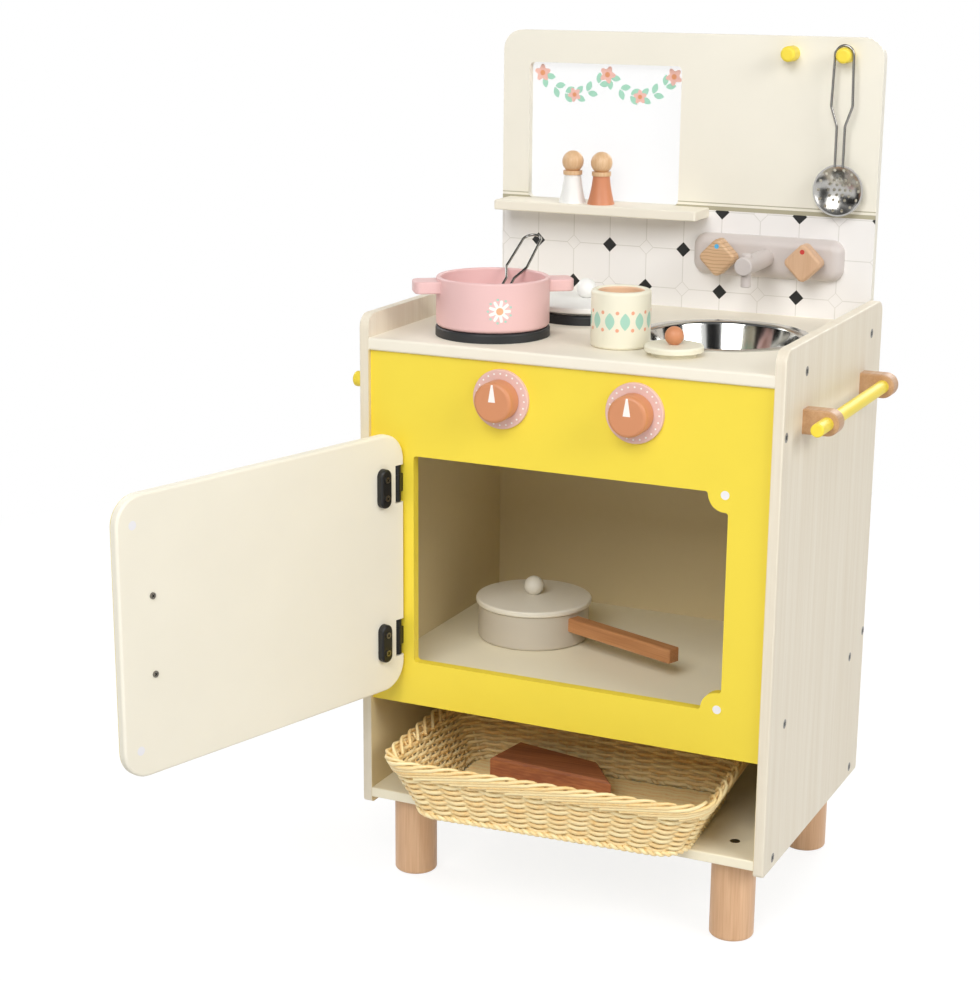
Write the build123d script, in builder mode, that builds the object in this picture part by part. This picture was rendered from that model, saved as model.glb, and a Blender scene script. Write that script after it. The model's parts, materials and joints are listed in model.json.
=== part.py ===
from build123d import *
from math import acos, atan2, cos, hypot, radians, sin
import os

os.makedirs("parts", exist_ok=True)

# A wooden toy kitchen standing on the floor. +Z is up, the front faces -Y, and the origin is on the floor
# in the middle of the cabinet's footprint. Sizes are millimetres, and z values are heights above the floor.

# Cabinet boards
cabinet_width = 420.0
cabinet_depth = 309.0
board_thickness = 10.0
side_bottom_z = 79.0
side_rise = 22.0
side_corner_radius = 13.0
side_foot_radius = 4.0
back_board_rise = 273.0
back_board_corner_radius = 20.0
front_setback = 4.0
front_panel_bottom_z = 190.0
worktop_top_z = 552.0
worktop_thickness = 12.0
worktop_edge_radius = 2.5
bottom_shelf_top_z = 95.0
oven_floor_top_z = 222.0
board_edge_radius = 1.5

# Window in the back board, and the shelf below it
window_left_x = -170.5
window_width = 166.0
window_rise = 103.0
window_height = 138.0
window_corner_radius = 5.0
pane_thickness = 2.0
pane_lap = 8.0
pane_clearance = 0.5
window_shelf_left_x = -192.0
window_shelf_width = 221.0
window_shelf_depth = 40.0
window_shelf_corner_radius = 2.5

# Legs and the bolts that hold them under the bottom shelf
leg_radius = 21.3
leg_edge_radius = 3.0
leg_inset_x = 40.5
leg_inset_y = 37.5
leg_bolt_radius = 3.0
leg_bolt_head_radius = 4.8
leg_bolt_head_height = 4.0
leg_bolt_length = 40.0

# Bolts through the side boards into the ends of the other boards
bolt_radius = 2.5
bolt_head_radius = 4.5
bolt_head_height = 2.5
bolt_length = 38.0
bolt_clearance = 0.1
worktop_bolt_front_inset = 61.5
worktop_bolt_back_inset = 36.5
oven_floor_bolt_front_inset = 45.5
oven_floor_bolt_back_inset = 49.5
shelf_bolt_inset = 27.5
front_panel_bolt_drop = 44.0
back_board_bolt_z = 232.0

# Oven opening and door. The door lies over the opening and is shown swung open on its left edge.
opening_width = 315.5
opening_centre_x = 3.25
opening_lip = 12.0
opening_height = 207.0
opening_corner_radius = 3.0
door_lap_hinge_side = 20.5
door_lap_free_side = 14.0
door_lap_height = 24.0
door_thickness = 10.0
door_corner_radius = 27.0
door_edge_radius = 2.8
door_gap = 1.5
door_open_angle = 106.0
magnet_radius = 4.1
magnet_depth = 3.0
magnet_inset_x = 3.5
magnet_inset_z = 2.0
magnet_ear_radius = 16.0

# Pin hinges: a frame knuckle on an arm through the front panel, between two door knuckles on a tongue
hinge_spacing = 154.0
hinge_inset = 5.5
hinge_height = 35.0
knuckle_radius = 4.4
knuckle_gap = 0.3
frame_knuckle_height = 17.2
arm_width = 7.0
arm_clearance = 0.2
flange_width = 18.0
flange_height = 34.0
flange_thickness = 3.0
pin_radius = 1.6
pin_clearance = 0.05
notch_depth = 12.0
notch_clearance = 1.0
tongue_thickness = 4.0
tongue_start = 5.4
tongue_end = 33.0
tongue_clearance = 0.1
plate_width = 14.0
plate_height = 38.0
plate_thickness = 6.5
plate_edge_radius = 2.0
plate_centre_u = 24.5
screw_radius = 1.5
screw_head_radius = 3.0
screw_head_height = 1.2
screw_spacing = 18.0
screw_clearance = 0.05

# Door handle, a bridge of wood on the outer face
handle_inset = 36.5
handle_length = 96.0
handle_width = 16.0
handle_projection = 27.0
handle_foot = 19.0
handle_grip = 13.0
handle_edge_radius = 4.0
handle_screw_spacing = 71.0
handle_screw_bite = 12.0

# Oven knobs and their dials
dial_xs = (-62.4, 70.2)
dial_drop = 34.5
dial_radius = 28.0
dial_thickness = 4.0
dial_edge_radius = 1.0
knob_radius = 19.0
knob_length = 18.0
knob_edge_radius = 3.5
turning_gap = 0.4
spindle_radius = 3.0
spindle_clearance = 0.05
spindle_reach = 11.0
spindle_head_radius = 6.0
spindle_head_height = 2.0

# Tap on the back board
tap_x = 94.0
tap_rise = 58.0
tap_base_length = 155.0
tap_base_height = 41.0
tap_base_thickness = 12.0
tap_base_corner_radius = 13.0
tap_base_edge_radius = 10.0
spout_radius = 9.0
spout_length = 69.0
spout_edge_radius = 1.5
nozzle_radius = 5.0
nozzle_setback = 11.0
nozzle_drop = 21.0
nozzle_rise = 11.5
nozzle_edge_radius = 1.0
tap_handle_offset = 44.0
tap_handle_side = 29.0
tap_handle_corner_radius = 5.5
tap_handle_thickness = 15.0
tap_handle_edge_radius = 3.0
tap_handle_gap = 6.0

# Hook pegs
peg_radius = 7.5
peg_length = 18.0
peg_edge_radius = 3.0
peg_tenon_radius = 5.0
peg_tenon_length = 7.0
peg_xs = (109.0, 164.0)
peg_drop = 16.5
side_peg_setback = 24.5
side_peg_drop = 46.0

# Towel rail on the right side
rail_drop = 50.5
rail_spacing = 184.0
bracket_height = 23.0
bracket_projection = 34.0
bracket_thickness = 17.0
bracket_edge_radius = 1.5
rail_radius = 6.25
rail_front_overhang = 30.0
rail_edge_radius = 1.5

# Hob plates
hob_radius = 54.6
hob_thickness = 9.0
hob_edge_radius = 2.0
front_hob_x = -104.0
front_hob_y = -83.0
rear_hob_x = -62.0
rear_hob_y = 47.0

# Sink basin
sink_x = 95.0
sink_y = 8.0
sink_rim_radius = 84.5
sink_bowl_radius = 75.0
sink_depth = 46.0
sink_base_radius = 62.0
sink_corner_radius = 14.0
sink_lip_radius = 3.0
sheet_thickness = 1.2
sink_clearance = 1.0

# Pot on the front hob plate
pot_radius = 54.0
pot_height = 47.0
pot_wall = 4.5
pot_floor = 5.0
pot_foot_radius = 4.0
pot_rim_radius = 1.8
lug_angle = 35.0
lug_length = 22.5
lug_width = 28.0
lug_height = 11.5
lug_drop = 3.0
lug_corner_radius = 7.0
lug_edge_radius = 1.5

# Lids with ball knobs
lid_overhang = 2.5
lid_thickness = 6.0
lid_plug_height = 2.5
lid_plug_clearance = 1.0
lid_dome = 2.0
lid_edge_radius = 2.0
lid_knob_radius = 10.0
lid_knob_sink = 1.0

# Saucepan on the oven floor
pan_x = -100.0
pan_y = 14.0
pan_radius = 57.0
pan_height = 36.0
pan_wall = 3.0
pan_floor = 3.5
pan_foot_radius = 3.0
pan_rim_radius = 1.2
pan_handle_angle = -20.7
pan_handle_length = 135.0
pan_handle_side = 14.5
pan_handle_drop = 4.0
pan_handle_chamfer = 1.0

# Jar and its lid, which lies beside it
jar_x = 27.0
jar_y = -83.0
jar_radius = 27.8
jar_height = 53.0
jar_bore_radius = 21.0
jar_floor = 9.0
jar_edge_radius = 3.0
jar_lid_x = 88.5
jar_lid_y = -106.0
jar_lid_radius = 27.0
jar_lid_thickness = 5.5
jar_plug_height = 4.5
jar_plug_clearance = 0.6
jar_lid_edge_radius = 2.0
jar_knob_radius = 8.7
jar_knob_sink = 0.8

# Shakers on the window shelf
shaker_xs = (-111.0, -79.4)
shaker_y = 122.0
shaker_base_radius = 14.0
shaker_neck_radius = 8.6
shaker_body_height = 28.5
shaker_waist = 0.8
collar_radius = 9.8
collar_height = 4.0
head_radius = 11.0
head_centre_rise = 13.0

# Wire utensils with a hanging loop
wire_radius = 1.3
loop_clearance = 0.35
wire_spread = 10.5
wire_neck = 4.0
wire_spread_drop = 48.0
wire_neck_drop = 67.0
wire_length = 106.0
wire_bend_radius = 9.0
bowl_plate = 1.0
skimmer_bowl_radius = 25.0
skimmer_bowl_depth = 9.0
skimmer_setback = 11.5
hole_radius = 1.5
hole_counts = (6, 12, 14)
hole_ring_radii = (5.6, 11.2, 20.0)
ladle_bowl_radius = 20.0
ladle_bowl_depth = 8.0
weld_lap = 2.5
ladle_turn = 4.8
ladle_above_rim = 46.0
ladle_side = 2.0
ladle_rest = 2.6
ladle_floor_gap = 2.8

# Basket on the bottom shelf, pulled a little forward and turned, with a wooden block in it
basket_x = -2.0
basket_y = -108.0
basket_turn = 4.0
basket_height = 63.0
basket_base_width = 268.0
basket_base_depth = 168.0
basket_rim_width = 338.0
basket_rim_depth = 216.0
basket_corner_radius = 34.0
basket_base_corner_radius = 26.0
basket_wall = 6.0
basket_floor = 5.0
basket_band_height = 17.0
basket_band_stand = 3.0
block_front_length = 135.0
block_back_length = 94.0
block_left_width = 54.0
block_right_width = 43.0
block_left_slant = 5.0
block_height = 24.0
block_chamfer = 2.5
block_x = -95.0
block_y = 22.0
block_turn = -7.8

# Places that follow from the sizes above
side_inner_x = cabinet_width / 2 - board_thickness
side_outer_x = cabinet_width / 2
side_height = worktop_top_z + side_rise - side_bottom_z
front_y = -cabinet_depth / 2
back_y = cabinet_depth / 2
board_front_y = back_y - board_thickness
panel_face_y = front_y + front_setback
panel_back_y = panel_face_y + board_thickness
worktop_bottom_z = worktop_top_z - worktop_thickness
hob_top_z = worktop_top_z + hob_thickness
back_board_top_z = worktop_top_z + back_board_rise
window_bottom_z = worktop_top_z + window_rise
tap_z = worktop_top_z + tap_rise
rail_z = worktop_top_z - rail_drop
side_peg_z = worktop_top_z - side_peg_drop
leg_x = side_outer_x - leg_inset_x
leg_y = back_y - leg_inset_y
leg_height = bottom_shelf_top_z - board_thickness
opening_left_x = opening_centre_x - opening_width / 2
opening_right_x = opening_centre_x + opening_width / 2
opening_bottom_z = oven_floor_top_z + opening_lip
opening_top_z = opening_bottom_z + opening_height
opening_mid_z = opening_bottom_z + opening_height / 2
magnet_x = opening_right_x - magnet_inset_x
magnet_zs = (opening_bottom_z + magnet_inset_z, opening_top_z - magnet_inset_z)
door_width = opening_width + door_lap_hinge_side + door_lap_free_side
door_height = opening_height + 2 * door_lap_height
hinge_x = opening_left_x - door_lap_hinge_side + hinge_inset
hinge_y = panel_face_y - door_gap - door_thickness / 2
hinge_zs = (opening_mid_z - hinge_spacing / 2, opening_mid_z + hinge_spacing / 2)
dial_z = worktop_bottom_z - dial_drop
dial_face_y = panel_face_y - dial_thickness
knob_back_y = dial_face_y - turning_gap
tap_face_y = board_front_y - tap_base_thickness
tap_handle_back_y = tap_face_y - tap_handle_gap
tap_handle_xs = (tap_x - tap_handle_offset, tap_x + tap_handle_offset)
peg_z = back_board_top_z - peg_drop
window_mid_x = window_left_x + window_width / 2
window_mid_z = window_bottom_z + window_height / 2
worktop_bolt_ys = (front_y + worktop_bolt_front_inset, back_y - worktop_bolt_back_inset)
oven_floor_bolt_ys = (front_y + oven_floor_bolt_front_inset, back_y - oven_floor_bolt_back_inset)
shelf_bolt_ys = (front_y + shelf_bolt_inset, back_y - shelf_bolt_inset)
worktop_bolts = [(y, worktop_top_z - worktop_thickness / 2) for y in worktop_bolt_ys]
oven_floor_bolts = [(y, oven_floor_top_z - board_thickness / 2) for y in oven_floor_bolt_ys]
shelf_bolts = [(y, bottom_shelf_top_z - board_thickness / 2) for y in shelf_bolt_ys]
front_panel_bolts = [((panel_face_y + panel_back_y) / 2, worktop_bottom_z - front_panel_bolt_drop)]
back_board_bolts = [((board_front_y + back_y) / 2, back_board_bolt_z)]
side_bolts = worktop_bolts + oven_floor_bolts + shelf_bolts + front_panel_bolts + back_board_bolts
facing_front = (90, 0, 0)


def save(builder, label):
    """Name a finished piece and write it as its own STEP file."""
    builder.part.label = label
    export_step(builder.part, f"parts/{label}.step")


def upright(y):
    """A sketch plane facing the front at depth y, X to the right and Z up. Extruding goes to the front."""
    return Plane.XZ.offset(-y)


def side_facing(side, x, points):
    """Places on a plane across X, each facing out of the cabinet on that side."""
    return [Location((side * x, y, z), (0, side * 90, 0)) for y, z in points]


def bore_board_ends(points):
    """Bore both ends of the board being built for the side bolts."""
    for side in (-1, 1):
        with Locations(*side_facing(side, side_inner_x, points)):
            Hole(bolt_radius + bolt_clearance, depth=bolt_length - board_thickness + bolt_clearance)


def turning_plane(x, y, z):
    """A sketch plane through an upright axis at x, y, with radius across and height above z up."""
    return Plane((x, y, z), x_dir=(1, 0, 0), z_dir=(0, -1, 0))


def upright_axis(x, y):
    """The upright axis at x, y."""
    return Axis((x, y, 0), (0, 0, 1))


def corner(sketch, across, up):
    """The corner of a sketch that is nearest to a place in it."""
    return sketch.vertices().sort_by_distance((across, up, 0))[0]


def vessel(x, y, z, radius, height, bore, floor, foot_radius, rim_radius):
    """A round straight-sided vessel, turned about its upright axis."""
    with BuildPart() as body:
        with BuildSketch(turning_plane(x, y, z)) as profile:
            with BuildLine():
                Polyline((0, 0), (radius, 0), (radius, height), (bore, height), (bore, floor), (0, floor),
                         close=True)
            make_face()
            fillet([corner(profile, radius, 0), corner(profile, bore, floor)], radius=foot_radius)
            fillet([corner(profile, radius, height), corner(profile, bore, height)], radius=rim_radius)
        revolve(axis=upright_axis(x, y))
    return body


def domed_lid(x, y, seat_z, radius, plug_radius):
    """A lid with a low dome and a ball knob. Its plug hangs below seat_z."""
    apex = lid_thickness + lid_dome
    with BuildPart() as body:
        with BuildSketch(turning_plane(x, y, seat_z)) as profile:
            with BuildLine():
                Polyline((0, apex), (0, -lid_plug_height), (plug_radius, -lid_plug_height), (plug_radius, 0),
                         (radius, 0), (radius, lid_thickness))
                TangentArc((0, apex), (radius, lid_thickness), tangent=(1, 0))
            make_face()
            rim_corners = [corner(profile, radius, 0), corner(profile, radius, lid_thickness)]
            fillet(rim_corners, radius=lid_edge_radius)
        revolve(axis=upright_axis(x, y))
        with Locations((x, y, seat_z + apex - lid_knob_sink + lid_knob_radius)):
            Sphere(lid_knob_radius)
    return body


def wire_handle(plane):
    """A bent wire handle. It runs from two ends up to a round hanging loop about the plane's origin."""
    loop_radius = peg_radius + loop_clearance + wire_radius
    reach = hypot(wire_spread, wire_spread_drop)
    touch = acos(loop_radius / reach) - atan2(wire_spread_drop, wire_spread)
    run = [(wire_neck, -wire_length), (wire_neck, -wire_neck_drop), (wire_spread, -wire_spread_drop),
           (loop_radius * cos(touch), loop_radius * sin(touch))]
    mirrored = [(-x, y) for x, y in reversed(run)]
    with BuildPart() as handle:
        with BuildLine(plane) as path:
            FilletPolyline(*run, radius=wire_bend_radius)
            ThreePointArc(run[-1], (0, loop_radius), mirrored[0])
            FilletPolyline(*mirrored, radius=wire_bend_radius)
        with BuildSketch(Plane(path.wire() @ 0, z_dir=path.wire() % 0)):
            Circle(wire_radius)
        sweep()
    return handle


def spoon_bowl(plane, radius, depth, rings):
    """A shallow pressed bowl. Its rim lies in the plane, and its hollow side faces along the normal."""
    sphere_radius = (radius ** 2 + depth ** 2) / (2 * depth)
    inner_radius = ((sphere_radius - bowl_plate) ** 2 - (sphere_radius - depth) ** 2) ** 0.5
    with BuildPart() as bowl:
        with BuildSketch(Plane(plane.origin, x_dir=plane.x_dir, z_dir=-plane.y_dir)):
            with BuildLine():
                TangentArc((0, -depth), (radius, 0), tangent=(1, 0))
                Line((radius, 0), (inner_radius, 0))
                TangentArc((0, bowl_plate - depth), (inner_radius, 0), tangent=(1, 0))
                Line((0, bowl_plate - depth), (0, -depth))
            make_face()
        revolve(axis=Axis(plane.origin, plane.z_dir))
        if rings:
            with BuildSketch(plane):
                Circle(hole_radius)
                for count, ring_radius in rings:
                    with PolarLocations(ring_radius, count):
                        Circle(hole_radius)
            extrude(amount=-depth, mode=Mode.SUBTRACT)
    return bowl


def flat_board(x_size, y_low, y_high, top_z, thickness, bolts):
    """A horizontal board between the side boards, with rounded front edges."""
    with BuildPart() as board:
        with BuildSketch(Plane.XY.offset(top_z - thickness)):
            with Locations((0, (y_low + y_high) / 2)):
                Rectangle(x_size, y_high - y_low)
        extrude(amount=thickness)
        fillet(board.edges().filter_by(Axis.X).group_by(Axis.Y)[0], radius=board_edge_radius)
        bore_board_ends(bolts)
    return board


# Side boards
for side, side_name in ((-1, "left_side_panel"), (1, "right_side_panel")):
    with BuildPart() as side_panel:
        with BuildSketch(Plane.YZ.offset(min(side * side_inner_x, side * side_outer_x))) as side_outline:
            with Locations((0, side_bottom_z + side_height / 2)):
                Rectangle(cabinet_depth, side_height)
            fillet(side_outline.vertices().group_by(Axis.Y)[-1], radius=side_corner_radius)
            fillet(side_outline.vertices().group_by(Axis.Y)[0], radius=side_foot_radius)
        extrude(amount=board_thickness)
        fillet(side_panel.faces().filter_by(Axis.X).sort_by(Axis.X)[0 if side < 0 else -1].edges(),
               radius=board_edge_radius)
        with Locations(*side_facing(side, side_outer_x, side_bolts)):
            CounterBoreHole(bolt_radius + bolt_clearance, bolt_head_radius + bolt_clearance, bolt_head_height,
                            depth=board_thickness)
        if side < 0:
            with Locations(*side_facing(side, side_outer_x, [(front_y + side_peg_setback, side_peg_z)])):
                Hole(peg_tenon_radius, depth=peg_tenon_length)
    save(side_panel, side_name)

# Back board, from the bottom shelf up past the worktop
with BuildPart() as back_board:
    with BuildSketch(upright(back_y)) as back_outline:
        with Locations((0, (bottom_shelf_top_z + back_board_top_z) / 2)):
            Rectangle(2 * side_inner_x, back_board_top_z - bottom_shelf_top_z)
        fillet(back_outline.vertices().group_by(Axis.Y)[-1], radius=back_board_corner_radius)
        with Locations((window_mid_x, window_mid_z)):
            RectangleRounded(window_width, window_height, window_corner_radius, mode=Mode.SUBTRACT)
    extrude(amount=board_thickness)
    with BuildSketch(upright(back_y)):
        with Locations((window_mid_x, window_mid_z)):
            RectangleRounded(window_width + 2 * pane_lap, window_height + 2 * pane_lap, pane_lap)
    extrude(amount=pane_thickness, mode=Mode.SUBTRACT)
    with Locations(*[Location((x, board_front_y, peg_z), facing_front) for x in peg_xs]):
        Hole(peg_tenon_radius, depth=peg_tenon_length)
    bore_board_ends(back_board_bolts)
save(back_board, "back_board")

# Clear pane let into the back of the board behind the window
with BuildPart() as window_pane:
    with BuildSketch(upright(back_y)):
        with Locations((window_mid_x, window_mid_z)):
            RectangleRounded(window_width + 2 * (pane_lap - pane_clearance),
                             window_height + 2 * (pane_lap - pane_clearance), pane_lap - pane_clearance)
    extrude(amount=pane_thickness)
save(window_pane, "window_pane")

# Worktop with the round cut-out for the sink
with BuildPart() as worktop:
    with BuildSketch(Plane.XY.offset(worktop_bottom_z)):
        with Locations((0, (front_y + board_front_y) / 2)):
            Rectangle(2 * side_inner_x, board_front_y - front_y)
        with Locations((sink_x, sink_y)):
            Circle(sink_bowl_radius + sink_lip_radius + sink_clearance, mode=Mode.SUBTRACT)
    extrude(amount=worktop_thickness)
    fillet(worktop.edges().filter_by(Axis.X).group_by(Axis.Y)[0], radius=worktop_edge_radius)
    bore_board_ends(worktop_bolts)
save(worktop, "worktop")

# Oven floor and bottom shelf
oven_floor = flat_board(2 * side_inner_x, panel_back_y, board_front_y, oven_floor_top_z, board_thickness,
                        oven_floor_bolts)
save(oven_floor, "oven_floor")

bottom_shelf = flat_board(2 * side_inner_x, front_y, back_y, bottom_shelf_top_z, board_thickness,
                          shelf_bolts)
with bottom_shelf:
    with Locations((0, 0, bottom_shelf_top_z)):
        with GridLocations(2 * leg_x, 2 * leg_y, 2, 2):
            CounterBoreHole(leg_bolt_radius + bolt_clearance, leg_bolt_head_radius + bolt_clearance,
                            leg_bolt_head_height, depth=board_thickness)
save(bottom_shelf, "bottom_shelf")

# Front panel. Ears in the right corners of the opening carry the magnets.
with BuildPart() as front_panel:
    with BuildSketch(upright(panel_back_y)) as panel_outline:
        with Locations((0, (front_panel_bottom_z + worktop_bottom_z) / 2)):
            Rectangle(2 * side_inner_x, worktop_bottom_z - front_panel_bottom_z)
        with Locations((opening_centre_x, opening_mid_z)):
            Rectangle(opening_width, opening_height, mode=Mode.SUBTRACT)
        with Locations(*[(magnet_x, z) for z in magnet_zs]):
            Circle(magnet_ear_radius)
        fillet(panel_outline.face().inner_wires()[0].vertices(), radius=opening_corner_radius)
    extrude(amount=board_thickness)
    with Locations(*[Location((magnet_x, panel_face_y, z), facing_front) for z in magnet_zs]):
        Hole(magnet_radius, depth=magnet_depth)
    with Locations(*[Location((x, panel_face_y, dial_z), facing_front) for x in dial_xs]):
        Hole(spindle_radius, depth=board_thickness)
    with BuildSketch(upright(panel_back_y)):
        with Locations(*[(hinge_x, z) for z in hinge_zs]):
            Rectangle(arm_width + 2 * arm_clearance, frame_knuckle_height + 2 * arm_clearance)
    extrude(amount=board_thickness, mode=Mode.SUBTRACT)
    bore_board_ends(front_panel_bolts)
save(front_panel, "front_panel")

# Small shelf under the window
with BuildPart() as window_shelf:
    with BuildSketch(Plane.XY.offset(window_bottom_z - board_thickness)) as shelf_outline:
        with Locations((window_shelf_left_x, board_front_y)):
            Rectangle(window_shelf_width, window_shelf_depth, align=(Align.MIN, Align.MAX))
        fillet(shelf_outline.vertices().group_by(Axis.Y)[0], radius=window_shelf_corner_radius)
    extrude(amount=board_thickness)
    fillet(window_shelf.faces().filter_by(Axis.Z).edges() - window_shelf.faces().sort_by(Axis.Y)[-1].edges(),
           radius=board_edge_radius)
save(window_shelf, "window_shelf")

# Legs
leg_places = {
    "front_left_leg": (-leg_x, -leg_y),
    "front_right_leg": (leg_x, -leg_y),
    "rear_left_leg": (-leg_x, leg_y),
    "rear_right_leg": (leg_x, leg_y),
}
leg_bolt_bite = leg_bolt_length - board_thickness
for leg_name, (x, y) in leg_places.items():
    with BuildPart() as leg:
        with BuildSketch():
            with Locations((x, y)):
                Circle(leg_radius)
        extrude(amount=leg_height)
        fillet(leg.edges().sort_by(Axis.Z)[0], radius=leg_edge_radius)
        with Locations((x, y, leg_height)):
            Hole(leg_bolt_radius + bolt_clearance, depth=leg_bolt_bite + bolt_clearance)
    save(leg, leg_name)

with BuildPart() as leg_bolts:
    for x, y in leg_places.values():
        with BuildSketch(Plane.XY.offset(bottom_shelf_top_z)):
            with Locations((x, y)):
                Circle(leg_bolt_radius)
        extrude(amount=-leg_bolt_length)
        with BuildSketch(Plane.XY.offset(bottom_shelf_top_z)):
            with Locations((x, y)):
                Circle(leg_bolt_head_radius)
        extrude(amount=-leg_bolt_head_height)
save(leg_bolts, "leg_bolts")

# Bolts through the side boards, heads sunk flush
with BuildPart() as side_bolt_set:
    for side in (-1, 1):
        for place in side_facing(side, side_outer_x, side_bolts):
            with BuildSketch(Plane(place)):
                Circle(bolt_radius)
            extrude(amount=-bolt_length)
            with BuildSketch(Plane(place)):
                Circle(bolt_head_radius)
            extrude(amount=-bolt_head_height)
save(side_bolt_set, "side_bolts")

# Hob plates
hob_places = {"front_hob_plate": (front_hob_x, front_hob_y), "rear_hob_plate": (rear_hob_x, rear_hob_y)}
for hob_name, (x, y) in hob_places.items():
    with BuildPart() as hob_plate:
        with BuildSketch(Plane.XY.offset(worktop_top_z)):
            with Locations((x, y)):
                Circle(hob_radius)
        extrude(amount=hob_thickness)
        fillet(hob_plate.edges().sort_by(Axis.Z)[-1], radius=hob_edge_radius)
    save(hob_plate, hob_name)

# Dials fixed to the front panel, and the knobs that turn in front of them
for dial_x, hand in zip(dial_xs, ("left", "right")):
    with BuildPart() as dial:
        with BuildSketch(upright(panel_face_y)):
            with Locations((dial_x, dial_z)):
                Circle(dial_radius)
                Circle(spindle_radius, mode=Mode.SUBTRACT)
        extrude(amount=dial_thickness)
        fillet(dial.faces().sort_by(Axis.Y)[0].outer_wire().edges(), radius=dial_edge_radius)
    save(dial, f"{hand}_dial")

    with BuildPart() as knob:
        with BuildSketch(upright(knob_back_y)):
            with Locations((dial_x, dial_z)):
                Circle(knob_radius)
        extrude(amount=knob_length)
        fillet(knob.edges().sort_by(Axis.Y)[0], radius=knob_edge_radius)
        with BuildSketch(upright(knob_back_y)):
            with Locations((dial_x, dial_z)):
                Circle(spindle_radius + spindle_clearance)
        extrude(amount=spindle_reach + turning_gap, mode=Mode.SUBTRACT)
    save(knob, f"{hand}_knob")

# Spindles for the knobs and the tap handles, each with a head behind what holds it
with BuildPart() as spindles:
    for dial_x in dial_xs:
        with BuildSketch(upright(panel_back_y)):
            with Locations((dial_x, dial_z)):
                Circle(spindle_radius)
        extrude(amount=panel_back_y - knob_back_y + spindle_reach)
        with BuildSketch(upright(panel_back_y)):
            with Locations((dial_x, dial_z)):
                Circle(spindle_head_radius)
        extrude(amount=-spindle_head_height)
    for x in tap_handle_xs:
        with BuildSketch(upright(board_front_y)):
            with Locations((x, tap_z)):
                Circle(spindle_radius)
        extrude(amount=board_front_y - tap_handle_back_y + spindle_reach)
save(spindles, "turning_spindles")

# Tap: base plate, spout and the nozzle dowel through the spout
with BuildPart() as tap_base:
    with BuildSketch(upright(board_front_y)):
        with Locations((tap_x, tap_z)):
            RectangleRounded(tap_base_length, tap_base_height, tap_base_corner_radius)
        with Locations(*[(x, tap_z) for x in tap_handle_xs]):
            Circle(spindle_radius, mode=Mode.SUBTRACT)
    extrude(amount=tap_base_thickness)
    fillet(tap_base.faces().sort_by(Axis.Y)[0].outer_wire().edges(), radius=tap_base_edge_radius)
save(tap_base, "tap_base")

nozzle_y = tap_face_y - spout_length + nozzle_setback
with BuildPart() as tap_spout:
    with BuildSketch(upright(tap_face_y)):
        with Locations((tap_x, tap_z)):
            Circle(spout_radius)
    extrude(amount=spout_length)
    fillet(tap_spout.edges().sort_by(Axis.Y)[0], radius=spout_edge_radius)
    with BuildSketch(Plane.XY.offset(tap_z - spout_radius)):
        with Locations((tap_x, nozzle_y)):
            Circle(nozzle_radius)
    extrude(amount=2 * spout_radius, mode=Mode.SUBTRACT)
save(tap_spout, "tap_spout")

with BuildPart() as spout_nozzle:
    with BuildSketch(Plane.XY.offset(tap_z - nozzle_drop)):
        with Locations((tap_x, nozzle_y)):
            Circle(nozzle_radius)
    extrude(amount=nozzle_drop + nozzle_rise)
    fillet(spout_nozzle.edges().filter_by(GeomType.CIRCLE), radius=nozzle_edge_radius)
save(spout_nozzle, "spout_nozzle")

# Tap handles: thick rounded diamonds
for x, handle_name in zip(tap_handle_xs, ("cold_tap_handle", "hot_tap_handle")):
    with BuildPart() as tap_handle:
        with BuildSketch(upright(tap_handle_back_y)):
            with Locations((x, tap_z)):
                RectangleRounded(tap_handle_side, tap_handle_side, tap_handle_corner_radius, rotation=45)
        extrude(amount=tap_handle_thickness)
        fillet(tap_handle.faces().sort_by(Axis.Y)[0].edges(), radius=tap_handle_edge_radius)
        with BuildSketch(upright(tap_handle_back_y)):
            with Locations((x, tap_z)):
                Circle(spindle_radius + spindle_clearance)
        extrude(amount=spindle_reach + turning_gap, mode=Mode.SUBTRACT)
    save(tap_handle, handle_name)

# Hook pegs: two on the back board and one on the left side
peg_planes = [Plane(Location((x, board_front_y, peg_z), facing_front)) for x in peg_xs]
peg_planes.append(Plane(side_facing(-1, side_outer_x, [(front_y + side_peg_setback, side_peg_z)])[0]))
with BuildPart() as hook_pegs:
    for peg_plane in peg_planes:
        with BuildSketch(peg_plane):
            Circle(peg_radius)
        extrude(amount=peg_length)
        with BuildSketch(peg_plane):
            Circle(peg_tenon_radius)
        extrude(amount=-peg_tenon_length)
    for peg_plane in peg_planes:
        tip = peg_plane.origin + peg_plane.z_dir * peg_length
        fillet(hook_pegs.edges().filter_by(GeomType.CIRCLE).sort_by_distance(tip)[0], radius=peg_edge_radius)
save(hook_pegs, "hook_pegs")

# Towel rail
bracket_ys = {"front_rail_bracket": -rail_spacing / 2, "rear_rail_bracket": rail_spacing / 2}
bracket_end_x = side_outer_x + bracket_projection
rail_x = bracket_end_x - bracket_height / 2
for bracket_name, y in bracket_ys.items():
    with BuildPart() as bracket:
        with BuildSketch(upright(y + bracket_thickness / 2)):
            with Locations(((side_outer_x + rail_x) / 2, rail_z)):
                Rectangle(rail_x - side_outer_x, bracket_height)
            with Locations((rail_x, rail_z)):
                Circle(bracket_height / 2)
                Circle(rail_radius, mode=Mode.SUBTRACT)
        extrude(amount=bracket_thickness)
        outlines = [face.outer_wire().edges() for face in bracket.faces().filter_by(Axis.Y)]
        wall_edges = bracket.faces().sort_by(Axis.X)[0].edges()
        fillet([edge for outline in outlines for edge in outline if edge not in wall_edges],
               radius=bracket_edge_radius)
    save(bracket, bracket_name)

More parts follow.
